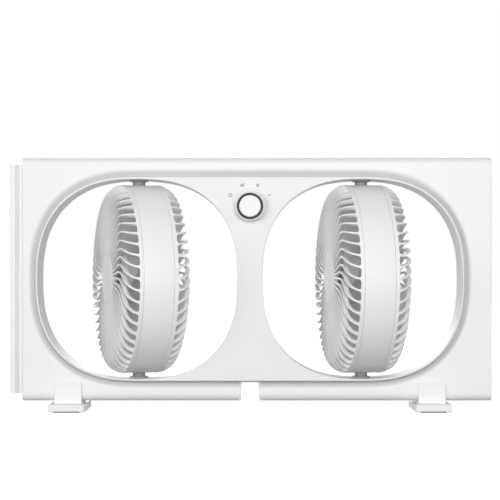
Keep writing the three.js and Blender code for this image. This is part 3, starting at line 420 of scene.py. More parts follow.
def rounded_profile(corners, radius, steps=4):
    """The closed profile through these corners, each rounded by up to this radius."""
    points = []
    count = len(corners)
    for i, corner in enumerate(corners):
        here = Vector(corner)
        before = Vector(corners[i - 1]) - here
        after = Vector(corners[(i + 1) % count]) - here
        if here.x == 0:
            points.append(tuple(here))
            continue
        size = min(radius, before.length * 0.45, after.length * 0.45)
        start = here + before.normalized() * size
        stop = here + after.normalized() * size
        for k in range(steps + 1):
            t = k / steps
            point = start * (1 - t) ** 2 + here * 2 * t * (1 - t) + stop * t**2
            points.append(tuple(point))
    return points


def profile_piece(name, corners, radius=0.5, steps=64):
    return turned(name, rounded_profile(corners, radius), steps)


def place(obj, matrix):
    obj.data.transform(matrix)
    return obj


def shift_mm(x, y, z):
    return Matrix.Translation((x * MM, y * MM, z * MM))


TO_REAR = Matrix.Diagonal((1, -1, 1, 1))


def mirrored_to_rear(obj):
    obj.data.transform(TO_REAR)
    obj.data.flip_normals()
    return obj


# ---- outlines

QUARTER_STEPS = 32
FLAT_CROWDING = 1.4


def quarter_normals():
    share = np.linspace(-1, 1, QUARTER_STEPS + 1)
    crowded = np.sign(share) * (1 - (1 - np.abs(share)) ** FLAT_CROWDING)
    return (math.pi / 4 * (1 + crowded)).tolist()


QUARTER = quarter_normals()
RIGHT_HALF = [-n for n in reversed(QUARTER[1:])] + QUARTER
ALL_ROUND = RIGHT_HALF + [n + math.pi for n in RIGHT_HALF[1:-1]]


def opening_point(normal, offset):
    """The point of the soft square whose normal has this direction, moved out by offset."""
    c, s = math.cos(normal), math.sin(normal)
    power = OPENING_POWER / (OPENING_POWER - 1)
    reach = (abs(c) ** power + abs(s) ** power) ** (-1 / OPENING_POWER)
    bend = 1 / (OPENING_POWER - 1)
    x = math.copysign(abs(c) ** bend, c) * reach * OPENING_RADIUS
    z = math.copysign(abs(s) ** bend, s) * reach * OPENING_RADIUS
    return x + offset * c, z + offset * s


def opening_loop(centre_x, offset):
    places = [opening_point(n, offset) for n in ALL_ROUND]
    return [(centre_x + x, POD_Z + z) for x, z in places]


def fascia_loop(offset):
    """The outboard halves of both openings, joined by straight lines."""
    loop = []
    for side in (1, -1):
        for normal in RIGHT_HALF:
            x, z = opening_point(normal, LIP + offset)
            loop.append((side * (POD_X + x), POD_Z + side * z))
    return loop


def frame_loop(sides, top, bottom):
    """The frame's rectangle, with one point for each point of the fascia's outline."""
    corner = math.pi / 4
    middle = (FRAME_TOP - top + FRAME_BOTTOM + bottom) / 2
    half = (FRAME_TOP - top - FRAME_BOTTOM - bottom) / 2
    loop = []
    for side in (1, -1):
        edge = FRAME_RIGHT - sides if side > 0 else FRAME_LEFT + sides
        for normal in RIGHT_HALF:
            up = max(-1, min(1, side * normal / corner))
            along = max(0, abs(normal) / corner - 1)
            loop.append((edge + (side * POD_X - edge) * along, middle + up * half))
    return loop


# ---- frame shells

VALLEY_STEPS = 14
EDGE_STEPS = 14


def valley_share(t):
    """1 next to the fascia, then a straight ramp that bends into the face at t = 1."""
    slope = 1 / (1 - VALLEY_BEND / 2)
    if t < 1 - VALLEY_BEND:
        return 1 - slope * t
    return slope * (1 - t) ** 2 / (2 * VALLEY_BEND)


def frame_skin(name):
    loops = []
    for k in range(VALLEY_STEPS + 1):
        t = k / VALLEY_STEPS
        depth = VALLEY_FLOOR * valley_share(t)
        loops.append(at_depth(fascia_loop(GAP + (VALLEY_WIDTH - GAP) * t), FRAME_FACE + depth))
    for k in range(EDGE_STEPS + 1):
        angle = math.pi / 2 * k / EDGE_STEPS
        inward, back = 1 - math.sin(angle), BOTTOM_EDGE_RADIUS * (1 - math.cos(angle))
        left = max(0.0, 1 - back / SIDE_EDGE_ROUND)
        side = SIDE_EDGE_ROUND * (1 - math.sqrt(1 - left * left))
        loop = frame_loop(side, TOP_EDGE_RADIUS * inward, BOTTOM_EDGE_RADIUS * inward)
        loops.append(at_depth(loop, FRAME_FACE + back))
    inner = FRAME_FACE + WALL
    even = ((0, -SPLIT - PARTING_CHAMFER), (PARTING_CHAMFER, -SPLIT), (WALL, -SPLIT))
    even += ((WALL, FRAME_FACE + BOTTOM_EDGE_RADIUS),)
    loops += [at_depth(frame_loop(inset, inset, inset), y) for inset, y in even]
    loops += [
        at_depth(frame_loop(WALL, TOP_EDGE_RADIUS, BOTTOM_EDGE_RADIUS), inner),
        at_depth(fascia_loop(VALLEY_WIDTH + WALL / 2), inner),
        at_depth(fascia_loop(GAP), inner + VALLEY_DEPTH),
    ]
    return ring_object(name, loops)


def arch(half, top, r, foot):
    """A rectangle on its foot, with its two upper corners rounded."""
    right = arc((half - r, top - r), r, 0, 90, 8)
    left = arc((-half + r, top - r), r, 90, 180, 8)
    return [(half, foot), *right, *left, (-half, foot)]


def notch_loop(wall, roof, foot):
    return arch(NOTCH_WIDTH / 2 + wall, NOTCH_TOP + roof, NOTCH_CORNER, foot)


def frame_shell(name):
    shell = frame_skin(name)
    face = FRAME_FACE
    lining_loop = notch_loop(WALL, NOTCH_ROOF, FRAME_BOTTOM)
    lining_front = face + VALLEY_DEPTH / 2
    combine(shell, [prism("lining", lining_loop, lining_front, -SPLIT)], "UNION")
    edge, low = NOTCH_EDGE, NOTCH_EDGE * 0.3
    stations = ((edge, face - 1), (edge, face - 0.05), (low, face + low), (0, face + edge), (0, 1))
    loops = [at_depth(notch_loop(out, out, FRAME_BOTTOM - 5), y) for out, y in stations]
    notch = lofted_solid("notch", loops)
    mouth = block(
        "mouth",
        (FRAME_LEFT - 1, -SLIDE_HALF_DEPTH - GAP, SLIDE_LOW[2] - GAP),
        (FRAME_LEFT + WALL + 1, 1, SLIDE_HIGH[2] + GAP),
    )
    return combine(shell, [notch, mouth], "DIFFERENCE")


SCREWS = ("left_lower", "left_upper", "right_lower", "right_upper")
SINK_RADIUS = 3.7
SINK_DEPTH = 4.3
GLAND_HOLE_RADIUS = 4.9


def centre_mm(node):
    low, high = box_mm(node)
    return [(a + b) / 2 for a, b in zip(low, high)]


def build_frame():
    front = frame_shell("front_frame_shell")
    finish_piece(front, "frame_white", "frame", "front_frame", material=FRAME_WHITE_PAINTED_SHADE)
    rear = frame_shell("rear_frame_shell")
    holes = [(f"housing_screw_{screw}", SINK_RADIUS, SINK_DEPTH) for screw in SCREWS]
    sinks = []
    for node, radius, depth in [*holes, ("cord_gland", GLAND_HOLE_RADIUS, 6)]:
        x, _, z = centre_mm(node)
        sinks.append(rod("sink", radius, FRAME_FACE - 1, FRAME_FACE + depth, x, z))
    combine(rear, sinks, "DIFFERENCE")
    rear = mirrored_to_rear(rear)
    finish_piece(rear, "frame_white", "frame", "rear_frame", material=FRAME_WHITE_PAINTED_SHADE)


# ---- fascia

ROUND_STEPS = 5
DISH_RADIUS = 24
DISH_FLOOR_RADIUS = 19.6
DISH_DEPTH = 1.2
WELL_DEPTH = 2
KNOB_X, _, KNOB_Z = centre_mm("knob_skirt")
PIVOTS = [(x, up) for x in (-POD_X, POD_X) for up in (1, -1)]
BUSH_RADIUS = 8.0
BUSH_FLANGE_RADIUS = 12.0
BUSH_CHAMFER_RADIUS = 9.4
BUSH_BORE_RADIUS = 4.9
BUSH_FLANGE = 2.2
SEAT_RADIUS = 12
SEAT_HEIGHT = 5
SEAT_SINK = 0.5


def rounded_edge(radius, steps=ROUND_STEPS):
    """Steps of a quarter round as (in from the side, back from the face)."""
    angles = np.linspace(0, math.pi / 2, steps + 1)
    return [(radius * (1 - math.sin(a)), radius * (1 - math.cos(a))) for a in angles]


def rounded_slab(name, loop_at, face, back, radius):
    loops = [at_depth(loop_at(-inward), face + down) for inward, down in rounded_edge(radius)]
    return lofted_solid(name, [*loops, at_depth(loop_at(0), back)])


def flared_cutter(name, loop_at, face, back, radius):
    """A hole whose mouth at the face is rounded over."""
    loops = [at_depth(loop_at(radius + 0.06), face - 2), at_depth(loop_at(radius), face - 0.03)]
    loops += [at_depth(loop_at(inward), face + down) for inward, down in rounded_edge(radius)][1:]
    return lofted_solid(name, [*loops, at_depth(loop_at(0), back)])


def upright_rod(name, radius, z0, z1, x):
    obj = rod(name, radius, -z1, -z0, 0, 0)
    return place(obj, shift_mm(x, 0, 0) @ Matrix.Rotation(-math.pi / 2, 4, "X"))


def dish_cutter():
    steps = 10
    loops = [at_depth(circle(DISH_RADIUS, (KNOB_X, KNOB_Z)), FASCIA_FACE - 1)]
    for k in range(steps + 1):
        t = k / steps
        radius = DISH_RADIUS + (DISH_FLOOR_RADIUS - DISH_RADIUS) * t
        depth = DISH_DEPTH * t * t * (3 - 2 * t)
        loops.append(at_depth(circle(radius, (KNOB_X, KNOB_Z)), FASCIA_FACE + depth - 0.004))
    well = circle(DISH_FLOOR_RADIUS - 0.05, (KNOB_X, KNOB_Z))
    loops.append(at_depth(well, FASCIA_FACE + WELL_DEPTH))
    return lofted_solid("dish", loops)


def fascia_half(name):
    face = FASCIA_FACE
    flange_front = FRAME_FACE + WALL + VALLEY_DEPTH + GAP
    flange_back = flange_front + FLANGE_THICKNESS
    body = rounded_slab(name, fascia_loop, face, flange_back, LIP_ROUND)
    flange = prism("flange", fascia_loop(FLANGE_REACH), flange_front, flange_back)
    tunnels = [
        prism("tunnel", opening_loop(x, LIP), face + FASCIA_PLATE / 2, -SPLIT)
        for x in (-POD_X, POD_X)
    ]
    pocket = prism("pocket", fascia_loop(-LIP), face + FASCIA_PLATE, 1)
    combine(body, [flange], "UNION")
    combine(body, [pocket], "DIFFERENCE")
    combine(body, tunnels, "UNION")
    cutters = [
        flared_cutter("opening", lambda out, x=x: opening_loop(x, out), face, 1, LIP_ROUND)
        for x in (-POD_X, POD_X)
    ]
    half = NOTCH_WIDTH / 2 + WALL + 1
    low, high = (-half, flange_front - 1, FRAME_BOTTOM), (half, 1, POD_Z - TUNNEL_OUTER)
    return combine(body, [*cutters, block("notch_room", low, high)], "DIFFERENCE")


def add_bush_seats(body):
    seats, holes = [], []
    for x, up in PIVOTS:
        wall = POD_Z + up * OPENING_RADIUS
        ends = sorted((wall + up * (LIP - SEAT_SINK), wall + up * (LIP - SEAT_SINK + SEAT_HEIGHT)))
        seats.append(upright_rod("seat", SEAT_RADIUS, *ends, x))
        ends = sorted((wall - up * LIP, wall + up * (LIP + SEAT_HEIGHT + 1)))
        holes.append(upright_rod("hole", BUSH_RADIUS + GAP, *ends, x))
    combine(body, seats, "UNION")
    low = (FRAME_LEFT, -SPLIT, 0)
    behind = block("behind", low, (FRAME_RIGHT, -FASCIA_FACE, FRAME_TOP))
    return combine(body, [*holes, behind], "DIFFERENCE")


def build_fascias():
    front = add_bush_seats(fascia_half("front_fascia_panel"))
    spindle_hole = rod("spindle_hole", 4, FASCIA_FACE - 2, 0, KNOB_X, KNOB_Z)
    combine(front, [dish_cutter(), spindle_hole], "DIFFERENCE")
    finish_piece(front, "fascia_white", "frame", "front_fascia")
    rear = add_bush_seats(fascia_half("rear_fascia_panel"))
    finish_piece(mirrored_to_rear(rear), "fascia_white", "frame", "rear_fascia")


# ---- dial marks

MARK_RADIUS = 28.3
MARK_PROUD = 0.12
STROKE_LENGTH = 4
STROKE_WIDTH = 0.95
STROKE_SPACING = 1.75
OFF_MARK_RADIUS = 2.4
OFF_MARK_WIDTH = 0.75
SPEED_ANGLES = ((30, 1), (70, 2), (110, 3))  # with the number of strokes at each
OFF_ANGLE = 150


def stroke(points, faces, centre, angle, shift):
    """One radial stroke of the dial, as a thin raised bar with round ends."""
    along = Vector((math.cos(angle), math.sin(angle)))
    across = Vector((-along.y, along.x))
    middle = Vector(centre) + along * MARK_RADIUS + across * shift
    half = STROKE_LENGTH / 2 - STROKE_WIDTH / 2
    outline = []
    for k in range(16):
        a = 2 * math.pi * k / 16
        end = half if k < 4 or k > 12 else -half
        spot = along * (end + math.cos(a) * STROKE_WIDTH / 2)
        outline.append(middle + spot + across * math.sin(a) * STROKE_WIDTH / 2)
    start = len(points)
    for y in (FASCIA_FACE + 0.05, FASCIA_FACE - MARK_PROUD):
        points += [(p.x, y, p.y) for p in outline]
    faces += shift_faces(solid_faces(2, len(outline)), start)


def build_marks():
    """An off ring and one, two and three strokes for the speeds."""
    points, faces = [], []
    centre = (KNOB_X, KNOB_Z)
    for angle, count in SPEED_ANGLES:
        for k in range(count):
            shift = (k - (count - 1) / 2) * STROKE_SPACING
            stroke(points, faces, centre, math.radians(angle), shift)
    x = KNOB_X + MARK_RADIUS * math.cos(math.radians(OFF_ANGLE))
    z = KNOB_Z + MARK_RADIUS * math.sin(math.radians(OFF_ANGLE))
    outer = circle(OFF_MARK_RADIUS, (x, z), 32)
    inner = circle(OFF_MARK_RADIUS - OFF_MARK_WIDTH, (x, z), 32)
    low, high = FASCIA_FACE + 0.05, FASCIA_FACE - MARK_PROUD
    loops = [at_depth(outer, low), at_depth(outer, high), at_depth(inner, high), at_depth(inner, low)]
    start = len(points)
    points += [p for loop in loops for p in loop]
    faces += shift_faces(ring_faces(4, 32), start)
    marks = make_object("dial_marks", points, faces)
    finish_piece(marks, "cap_grey", "frame", None, material=MARK_GREY)


# ---- knob

KNOB_RADIUS = 18.35
KNOB_WALL = 1.4
KNOB_RING_INNER, KNOB_RING_OUTER = 13.7, 16.4
KNOB_RING_RISE = 0.8
KNOB_CAP_RISE = 1.6
KNOB_POCKET = 3.4
KNOB_FLOOR = 2
KNOB_BORE, KNOB_BOSS = 3.3, 6


def build_knob():
    low, high = box_mm("knob_skirt")
    back, front = high[1], low[1]
    at = shift_mm(KNOB_X, back, KNOB_Z)
    top = front - back
    pocket = top + KNOB_POCKET
    floor, bore, boss, well = pocket + KNOB_FLOOR, KNOB_BORE, KNOB_BOSS, KNOB_RING_OUTER + GAP
    rim = [(16.9, top), (17.6, top + 0.15), (18.1, top + 0.5), (KNOB_RADIUS, top + 1.1)]
    skirt = [(bore, pocket), (well, pocket), (well, top), *rim, (KNOB_RADIUS, 0)]
    skirt += [(KNOB_RADIUS - KNOB_WALL, 0), (15.8, floor), (boss, floor), (boss, -GAP), (bore, -GAP)]
    skirt = rounded_profile(skirt, 0.5)
    finish_piece(place(turned("knob_body", skirt, 128), at), "frame_white", "knob", "knob_skirt")
    ring = ring_corners(KNOB_RING_INNER, KNOB_RING_OUTER, pocket - GAP, top - KNOB_RING_RISE)
    ring = rounded_profile(ring, 0.5)
    finish_piece(place(turned("knob_accent_ring", ring, 128), at), "ring_black", "knob", "knob_ring")
    face = top - KNOB_CAP_RISE
    cap = [
        (0.001, pocket - GAP),
        (13.4, pocket - GAP),
        *[(12.9 + x, face + 0.7 - y) for x, y in arc((0, 0), 0.5, 0, 80, 5)],
        *[(12.4 * (1 - t), face + 0.35 * t * (2 - t)) for t in np.linspace(0.05, 0.999, 8)],
    ]
    finish_piece(place(turned("knob_face", cap, 128), at), "frame_white", "knob", "knob_cap")
    low, high = box_mm("knob_spindle")
    obj = profile_piece("knob_shaft", ring_corners(0, 3, low[1], high[1]), 0.4, 48)
    place(obj, shift_mm(0, 0, KNOB_Z))
    finish_piece(obj, "steel", "knob", "knob_spindle")


# ---- slide and feet

GROOVE_DEPTH = 6.5
GROOVE_START = 7.6
GROOVE_WIDTH = 4.5
SLIDE_NESTED = 15.0  # how far its body reaches into the frame
SLIDE_WALL = 2.2


def build_slide():
    left, right = SLIDE_LOW[0], FRAME_LEFT + SLIDE_NESTED
    depth, wall = SLIDE_HALF_DEPTH, SLIDE_WALL
    groove_floor = depth - GROOVE_DEPTH
    groove_left = left + GROOVE_START
    groove_right = groove_left + GROOVE_WIDTH
    half = [(left, depth), (groove_left, depth), (groove_left, groove_floor)]
    half += [(groove_right, groove_floor), (groove_right, depth), (right, depth)]
    half += [(right, depth - wall), (groove_right + wall, depth - wall)]
    half += [(x + wall, groove_floor - wall) for x in (groove_right, left)]
    outline = half + [(x, -y) for x, y in reversed(half)]
    low, high = SLIDE_LOW[2], SLIDE_HIGH[2]
    loops = [[(x, y, z) for x, y in outline] for z in (low, high)]
    slide = lofted_solid("side_slide_panel", loops)
    caps = []
    for z0, z1 in ((low, low + wall), (high - wall, high)):
        thin = groove_floor - wall / 2
        caps.append(block("cap", (left + wall / 2, -thin, z0), (right, thin, z1)))
        arm_left = groove_right + wall / 2
        caps.append(block("arm", (arm_left, -depth, z0), (SLIDE_HIGH[0], depth, z1)))
    combine(slide, caps, "UNION")
    finish_piece(slide, "frame_white", "slide", "side_slide", bevel=0.7)


FOOT_HEIGHT = 10
CLIP_FLOOR = 2.7
TAB_WIDTH = 34.5
TAB_THICKNESS = 3
TAB_CORNER = 4
FOOT_WALL = 2.5


def build_foot(side):
    low, high = box_mm(f"{side}_foot")
    x, inside = (low[0] + high[0]) / 2, -FRAME_FACE + GAP
    half, top = TAB_WIDTH / 2, high[2]
    tab = [(x + px, pz) for px, pz in arch(half, top, TAB_CORNER, FOOT_HEIGHT - 1)]
    reach = inside + TAB_THICKNESS
    clip = prism(f"{side}_clip_foot", tab, -reach, reach)
    slot_low = (x - half - 1, -inside, FOOT_HEIGHT + CLIP_FLOOR)
    combine(clip, [block("between", slot_low, (x + half + 1, inside, top + 1))], "DIFFERENCE")
    combine(clip, [block("base", low, (high[0], high[1], FOOT_HEIGHT))], "UNION")
    end = high[1] - 12 - 2 * FOOT_WALL
    hollow_high = (high[0] - FOOT_WALL, end, FOOT_HEIGHT - FOOT_WALL)
    combine(clip, [block("hollow", (low[0] + FOOT_WALL, -end, 0), hollow_high)], "DIFFERENCE")
    finish_piece(clip, "frame_white", "frame", f"{side}_foot", bevel=0.8)
    for end_name in ("front", "rear"):
        node = f"{side}_foot_{end_name}_pad"
        pad_low, pad_high = box_mm(node)
        pad = block(f"{side}_{end_name}_rubber", pad_low, pad_high)
        finish_piece(pad, "rubber_black", "frame", node, bevel=0.25)


# ---- grilles


def shoulder_place(angle):
    """Radius and height above the pod's middle plane, on the quarter ellipse of the shoulder."""
    return (
        FLAT_RADIUS + SHOULDER_WIDTH * math.sin(angle),
        RIM_HALF_DEPTH + SHOULDER_RISE * math.cos(angle),
    )


# Lengths along the outside of a grille's section, from the slots' rim ends inward.
PATH_ANGLES = np.radians(np.linspace(90, 0, 91))
PATH_PLACES = np.array([shoulder_place(a) for a in PATH_ANGLES])
PATH_STEPS = np.linalg.norm(np.diff(PATH_PLACES, axis=0), axis=1)
PATH_LENGTHS = np.concatenate([[0], np.cumsum(PATH_STEPS)])
PATH_LENGTHS -= np.interp(-math.radians(SLOT_END_ANGLE), -PATH_ANGLES, PATH_LENGTHS)
RIM_START = PATH_LENGTHS[0]
FLAT_START = PATH_LENGTHS[-1]


def grille_place(along):
    """Radius, height and inward direction at this length along the grille's outside."""
    if along > FLAT_START:
        return FLAT_RADIUS - (along - FLAT_START), FACE_HALF_DEPTH, (0, -1)
    if along < RIM_START:
        return POD_RADIUS, RIM_HALF_DEPTH + (along - RIM_START), (-1, 0)
    angle = np.interp(along, PATH_LENGTHS, PATH_ANGLES)
    normal = (math.sin(angle) / SHOULDER_WIDTH, math.cos(angle) / SHOULDER_RISE)
    size = math.hypot(*normal)
    return *shoulder_place(angle), (-normal[0] / size, -normal[1] / size)


def sweep(r):
    return math.radians(SWEEP_ANGLE) * math.sin(math.pi / 2 * min(1, (POD_RADIUS - r) / SWEEP_WIDTH))


def rib_half_width(along):
    share = 1 - along / HUB_START
    return (RIB_WIDTH_AT_HUB + (RIB_WIDTH_AT_RIM - RIB_WIDTH_AT_HUB) * share) / 2


# Section of a slot's edge: how far back from the hole, and how deep below the outside.
SLOT_EDGE = [(0.6, 0), (0.2, 0.12), (0, 0.5), (0.55, 4.9), (0.9, RIB_DEPTH)]
HUB_START = FLAT_START + FLAT_RADIUS - HUB_RADIUS
RIM_FILLET = 2.6
HUB_FILLET = 0.8
FILLET_STEPS = 5
RIB_STEPS = 24
RIB_CROWDING = 1.5


def slot_side():
    """One side of a slot from rim to hub, as (length along, distance from the rib's centre
    line, share of the way out towards the rim, share sideways). The corners are rounded."""
    side = []
    for k in range(FILLET_STEPS + 1):
        a = math.pi / 2 * k / FILLET_STEPS
        along = RIM_FILLET * (1 - math.cos(a))
        across = rib_half_width(along) + RIM_FILLET * (1 - math.sin(a))
        side.append((along, across, math.cos(a), math.sin(a)))
    last = HUB_START - HUB_FILLET
    for k in range(1, RIB_STEPS):
        along = RIM_FILLET + (last - RIM_FILLET) * (k / RIB_STEPS) ** RIB_CROWDING
        side.append((along, rib_half_width(along), 0, 1))
    for k in range(3):
        a = math.pi / 2 * k / 2
        along = last + HUB_FILLET * math.sin(a)
        across = rib_half_width(along) + HUB_FILLET * (1 - math.cos(a))
        side.append((along, across, -math.sin(a), math.cos(a)))
    return side


def grille_object(name):
    """A grille as one closed skin. It faces -Y."""
    points, faces = [], []
    pitch = 2 * math.pi / RIBS
    side = slot_side()
    levels = len(SLOT_EDGE)
    mids = 2

    def put(along, across, angle, back, deep, out, sideways):
        """A point this far along, and across from a rib, moved away from the hole and down."""
        r, w, inward = grille_place(along - back * out)
        turn = angle + sweep(r) + (across - back * sideways) / r
        radius = r + inward[0] * deep
        points.append((radius * math.cos(turn), -(w + inward[1] * deep), radius * math.sin(turn)))
        return len(points) - 1

    def end_points(corner, here, there, edge, steps):
        """Points between the two corners at one end of a slot."""
        along, across = corner[:2]
        width = (there - here) * grille_place(along)[0] - 2 * across
        return [put(along, across + width * k / (mids + 1), here, *edge, 0) for k in steps]

    def bridge(*rings):
        for ring_a, ring_b in zip(rings, rings[1:]):
            for k in range(len(ring_a)):
                j = (k + 1) % len(ring_a)
                faces.append((ring_a[k], ring_a[j], ring_b[j], ring_b[k]))

    def close(ring, w):
        """Closes a ring by triangles to a point on the axis."""
        points.append((0, -w, 0))
        tip = len(points) - 1
        faces.extend((ring[k], ring[(k + 1) % len(ring)], tip) for k in range(len(ring)))

    # loops[slot][level] runs down the right side, across the hub end, up the other side and
    # back along the rim end.
    loops = []
    for i in range(RIBS):
        here, there = i * pitch, (i + 1) * pitch
        slot_loops = []
        for back, deep in SLOT_EDGE:
            loop = [put(s, c, here, back, deep, out, over) for s, c, out, over in side]
            loop += end_points(side[-1], here, there, (back, deep, -1), range(1, mids + 1))
            loop += [
                put(s, -c, there, back, deep, out, -over) for s, c, out, over in reversed(side)
            ]
            loop += end_points(side[0], here, there, (back, deep, 1), range(mids, 0, -1))
            slot_loops.append(loop)
        loops.append(slot_loops)
    for slot_loops in loops:
        bridge(*slot_loops)
    # The ribs' outer and inner faces, between the left side of one slot and the next.
    run = len(side)
    for i in range(RIBS):
        before, after = loops[i - 1], loops[i]
        for level in (0, levels - 1):
            right = after[level][:run]
            left = before[level][run + mids : 2 * run + mids][::-1]
            for k in range(run - 1):
                faces.append((left[k], right[k], right[k + 1], left[k + 1]))

    def circle_of(level, at_rim):
        """All points of a level on the slots' rim ends or hub ends, in order round."""
        ring = []
        for i in range(RIBS):
            loop = loops[i][level]
            if at_rim:
                ring += [loop[0], *reversed(loop[2 * run + mids :]), loop[2 * run + mids - 1]]
            else:
                ring += [loop[run - 1], *loop[run : run + mids], loop[run + mids]]
        return ring

    def place_ring(radius, w, angles):
        start = len(points)
        points.extend((radius * math.cos(a), -w, radius * math.sin(a)) for a in angles)
        return list(range(start, start + len(angles)))

    outer, inner = circle_of(0, True), circle_of(levels - 1, True)
    angles = [math.atan2(points[v][2], points[v][0]) for v in outer]
    chain = [outer]
    for share in (0.45, 0.7, 1):
        chain.append(place_ring(*grille_place(RIM_START * share)[:2], angles))
    seam = BAND_HALF_WIDTH + SEAM_GAP
    for inset, back in ((0, 0.45), (0.1, 0.12), (0.4, 0), (BAND_WALL, 0)):
        chain.append(place_ring(POD_RADIUS - inset, seam + back, angles))
    bridge(*chain, inner)

    outer, inner = circle_of(0, False), circle_of(levels - 1, False)
    angles = [math.atan2(points[v][2], points[v][0]) for v in outer]
    seat = HUB_CAP_RADIUS + GAP
    floor = FACE_HALF_DEPTH - HUB_RECESS
    chain = [
        outer,
        place_ring(seat + 0.35, FACE_HALF_DEPTH, angles),
        place_ring(seat, FACE_HALF_DEPTH - 0.3, angles),
        place_ring(seat, floor, angles),
        place_ring(HUB_CAP_RADIUS / 2, floor, angles),
    ]
    bridge(*chain)
    close(chain[-1], floor)
    close(inner, FACE_HALF_DEPTH - RIB_DEPTH)
    return make_object(name, points, faces)


# ---- barrel, caps, pivots

BARREL_TURNS = 360
CLIP_ANGLES = [90 + 36 + 72 * k for k in range(5)]
CLIP_HALF_WIDTH = 3


def barrel_object(name):
    """The band: slightly crowned, with small clip marks beside each grille."""
    edge = BAND_HALF_WIDTH
    stations = [(-edge, BAND_WALL), (-edge, 0.3), (-edge + 0.1, 0.08), (-edge + 0.4, 0)]
    clip_band = [-edge + 0.8, -edge + 1, -edge + 2.2, -edge + 2.4]
    stations += [(y, 0) for y in clip_band]
    stations += [(y, 0) for y in np.linspace(-edge + 4, 0, 7)]
    stations += [(-y, depth) for y, depth in reversed(stations[:-1])]
    angles = np.radians(np.arange(BARREL_TURNS) * 360 / BARREL_TURNS)
    loops = []
    for y, depth in stations:
        crown = BAND_CROWN * (y / edge) ** 2
        pressed = 0.35 if any(abs(abs(y) + c) < 0.01 for c in clip_band[1:3]) else 0
        loop = []
        for a in angles:
            near = min(abs((math.degrees(a) - c + 180) % 360 - 180) for c in CLIP_ANGLES)
            extra = pressed if near < CLIP_HALF_WIDTH else 0
            radius = POD_RADIUS - crown - depth - extra
            loop.append((radius * math.cos(a), y, radius * math.sin(a)))
        loops.append(loop)
    inside = POD_RADIUS - BAND_WALL
    for y in (edge, -edge):
        loops.append([(inside * math.cos(a), y, inside * math.sin(a)) for a in angles])
    return ring_object(name, loops)


def hub_cap(name):
    back = FACE_HALF_DEPTH - HUB_RECESS + GAP
    front = back + HUB_CAP_THICKNESS
    return profile_piece(name, ring_corners(0, HUB_CAP_RADIUS, -back, -front), 0.7, 96)


def bush_object(name):
    """The stepped bush, along +Y before it is stood upright."""
    top = TUNNEL_OUTER + SEAT_HEIGHT - SEAT_SINK
    flange = OPENING_RADIUS - GAP
    foot = flange - BUSH_FLANGE
    corners = [(BUSH_BORE_RADIUS, foot), (BUSH_CHAMFER_RADIUS, foot)]
    corners += [(BUSH_FLANGE_RADIUS, flange - 0.9), (BUSH_FLANGE_RADIUS, flange)]
    corners += [(BUSH_RADIUS, flange), (BUSH_RADIUS, top), (BUSH_BORE_RADIUS, top)]
    return profile_piece(name, corners, 0.4)


def pin_object(name):
    collar_foot = POD_RADIUS + GAP
    collar_top = OPENING_RADIUS - GAP - BUSH_FLANGE - GAP
    top = TUNNEL_OUTER + SEAT_HEIGHT - 2
    foot = POD_RADIUS - BAND_WALL - 4
    bore, stem, pin, collar = 2.2, 5, 4.5, 8
    corners = [(bore, foot), (stem, foot), (stem, collar_foot), (collar, collar_foot)]
    corners += [(collar, collar_top), (pin, collar_top), (pin, top), (bore, top)]
    return profile_piece(name, corners, 0.4)


UPRIGHT = Matrix.Rotation(math.pi / 2, 4, "X")
LEVELS = (("upper", UPRIGHT), ("lower", Matrix.Rotation(math.pi, 4, "X") @ UPRIGHT))


# ---- impeller

BLADES = 5
BLADE_SPANS = 22
BLADE_CHORDS = 20
IMPELLER_RADIUS = POD_RADIUS - BAND_WALL - 9.4
IMPELLER_HUB_RADIUS = 32
BLADE_ROOT_PITCH = 42
BLADE_TIP_PITCH = 22
BLADE_ROOT_CHORD = 34
BLADE_TIP_CHORD = 78
BLADE_LEAN = 22
BLADE_CAMBER = 3
BLADE_PLANE = -12
HUB_FRONT, HUB_REAR = -28.2, -3.6
IMPELLER_WALL = 2
SHAFT_HOLE = 3.3
BOSS_RADIUS = 7
BLADE_ROOT = 31
TIP_START = 0.82  # share of the blade's length where its tip starts to round off


def blade(points, faces, turn):
    """A twisted, cambered blade with thin edges and rounded tip corners."""
    start = len(points)
    rows = BLADE_SPANS + 1
    for i in range(rows):
        share = i / BLADE_SPANS
        r = BLADE_ROOT + (IMPELLER_RADIUS - BLADE_ROOT) * share
        chord = BLADE_ROOT_CHORD + (BLADE_TIP_CHORD - BLADE_ROOT_CHORD) * math.sqrt(share)
        tip = max(0.0, (share - TIP_START) / 0.18)
        chord *= 1 - 0.32 * tip**2.4
        pitch = math.radians(BLADE_ROOT_PITCH + (BLADE_TIP_PITCH - BLADE_ROOT_PITCH) * share)
        lean = math.radians(BLADE_LEAN) * share
        top, bottom = [], []
        for j in range(BLADE_CHORDS + 1):
            u = j / BLADE_CHORDS
            along = (u - 0.5) * chord
            angle = lean + along * math.cos(pitch) / r + turn
            y = BLADE_PLANE + along * math.sin(pitch) + BLADE_CAMBER * math.sin(math.pi * u)
            thick = 0.35 + 0.65 * math.sqrt(max(0, 1 - (2 * u - 1) ** 4))
            thick *= 1.0 - 0.4 * share
            for skin, sign in ((top, 1), (bottom, -1)):
                skin.append((r * math.cos(angle), y + sign * thick, r * math.sin(angle)))
        points += top + bottom[::-1]
    count = 2 * (BLADE_CHORDS + 1)
    faces += shift_faces(ring_faces(rows, count, wrap=False), start)
    for row in (0, rows - 1):
        base = start + row * count
        for k in range(BLADE_CHORDS):
            faces.append((base + k, base + k + 1, base + count - 2 - k, base + count - 1 - k))


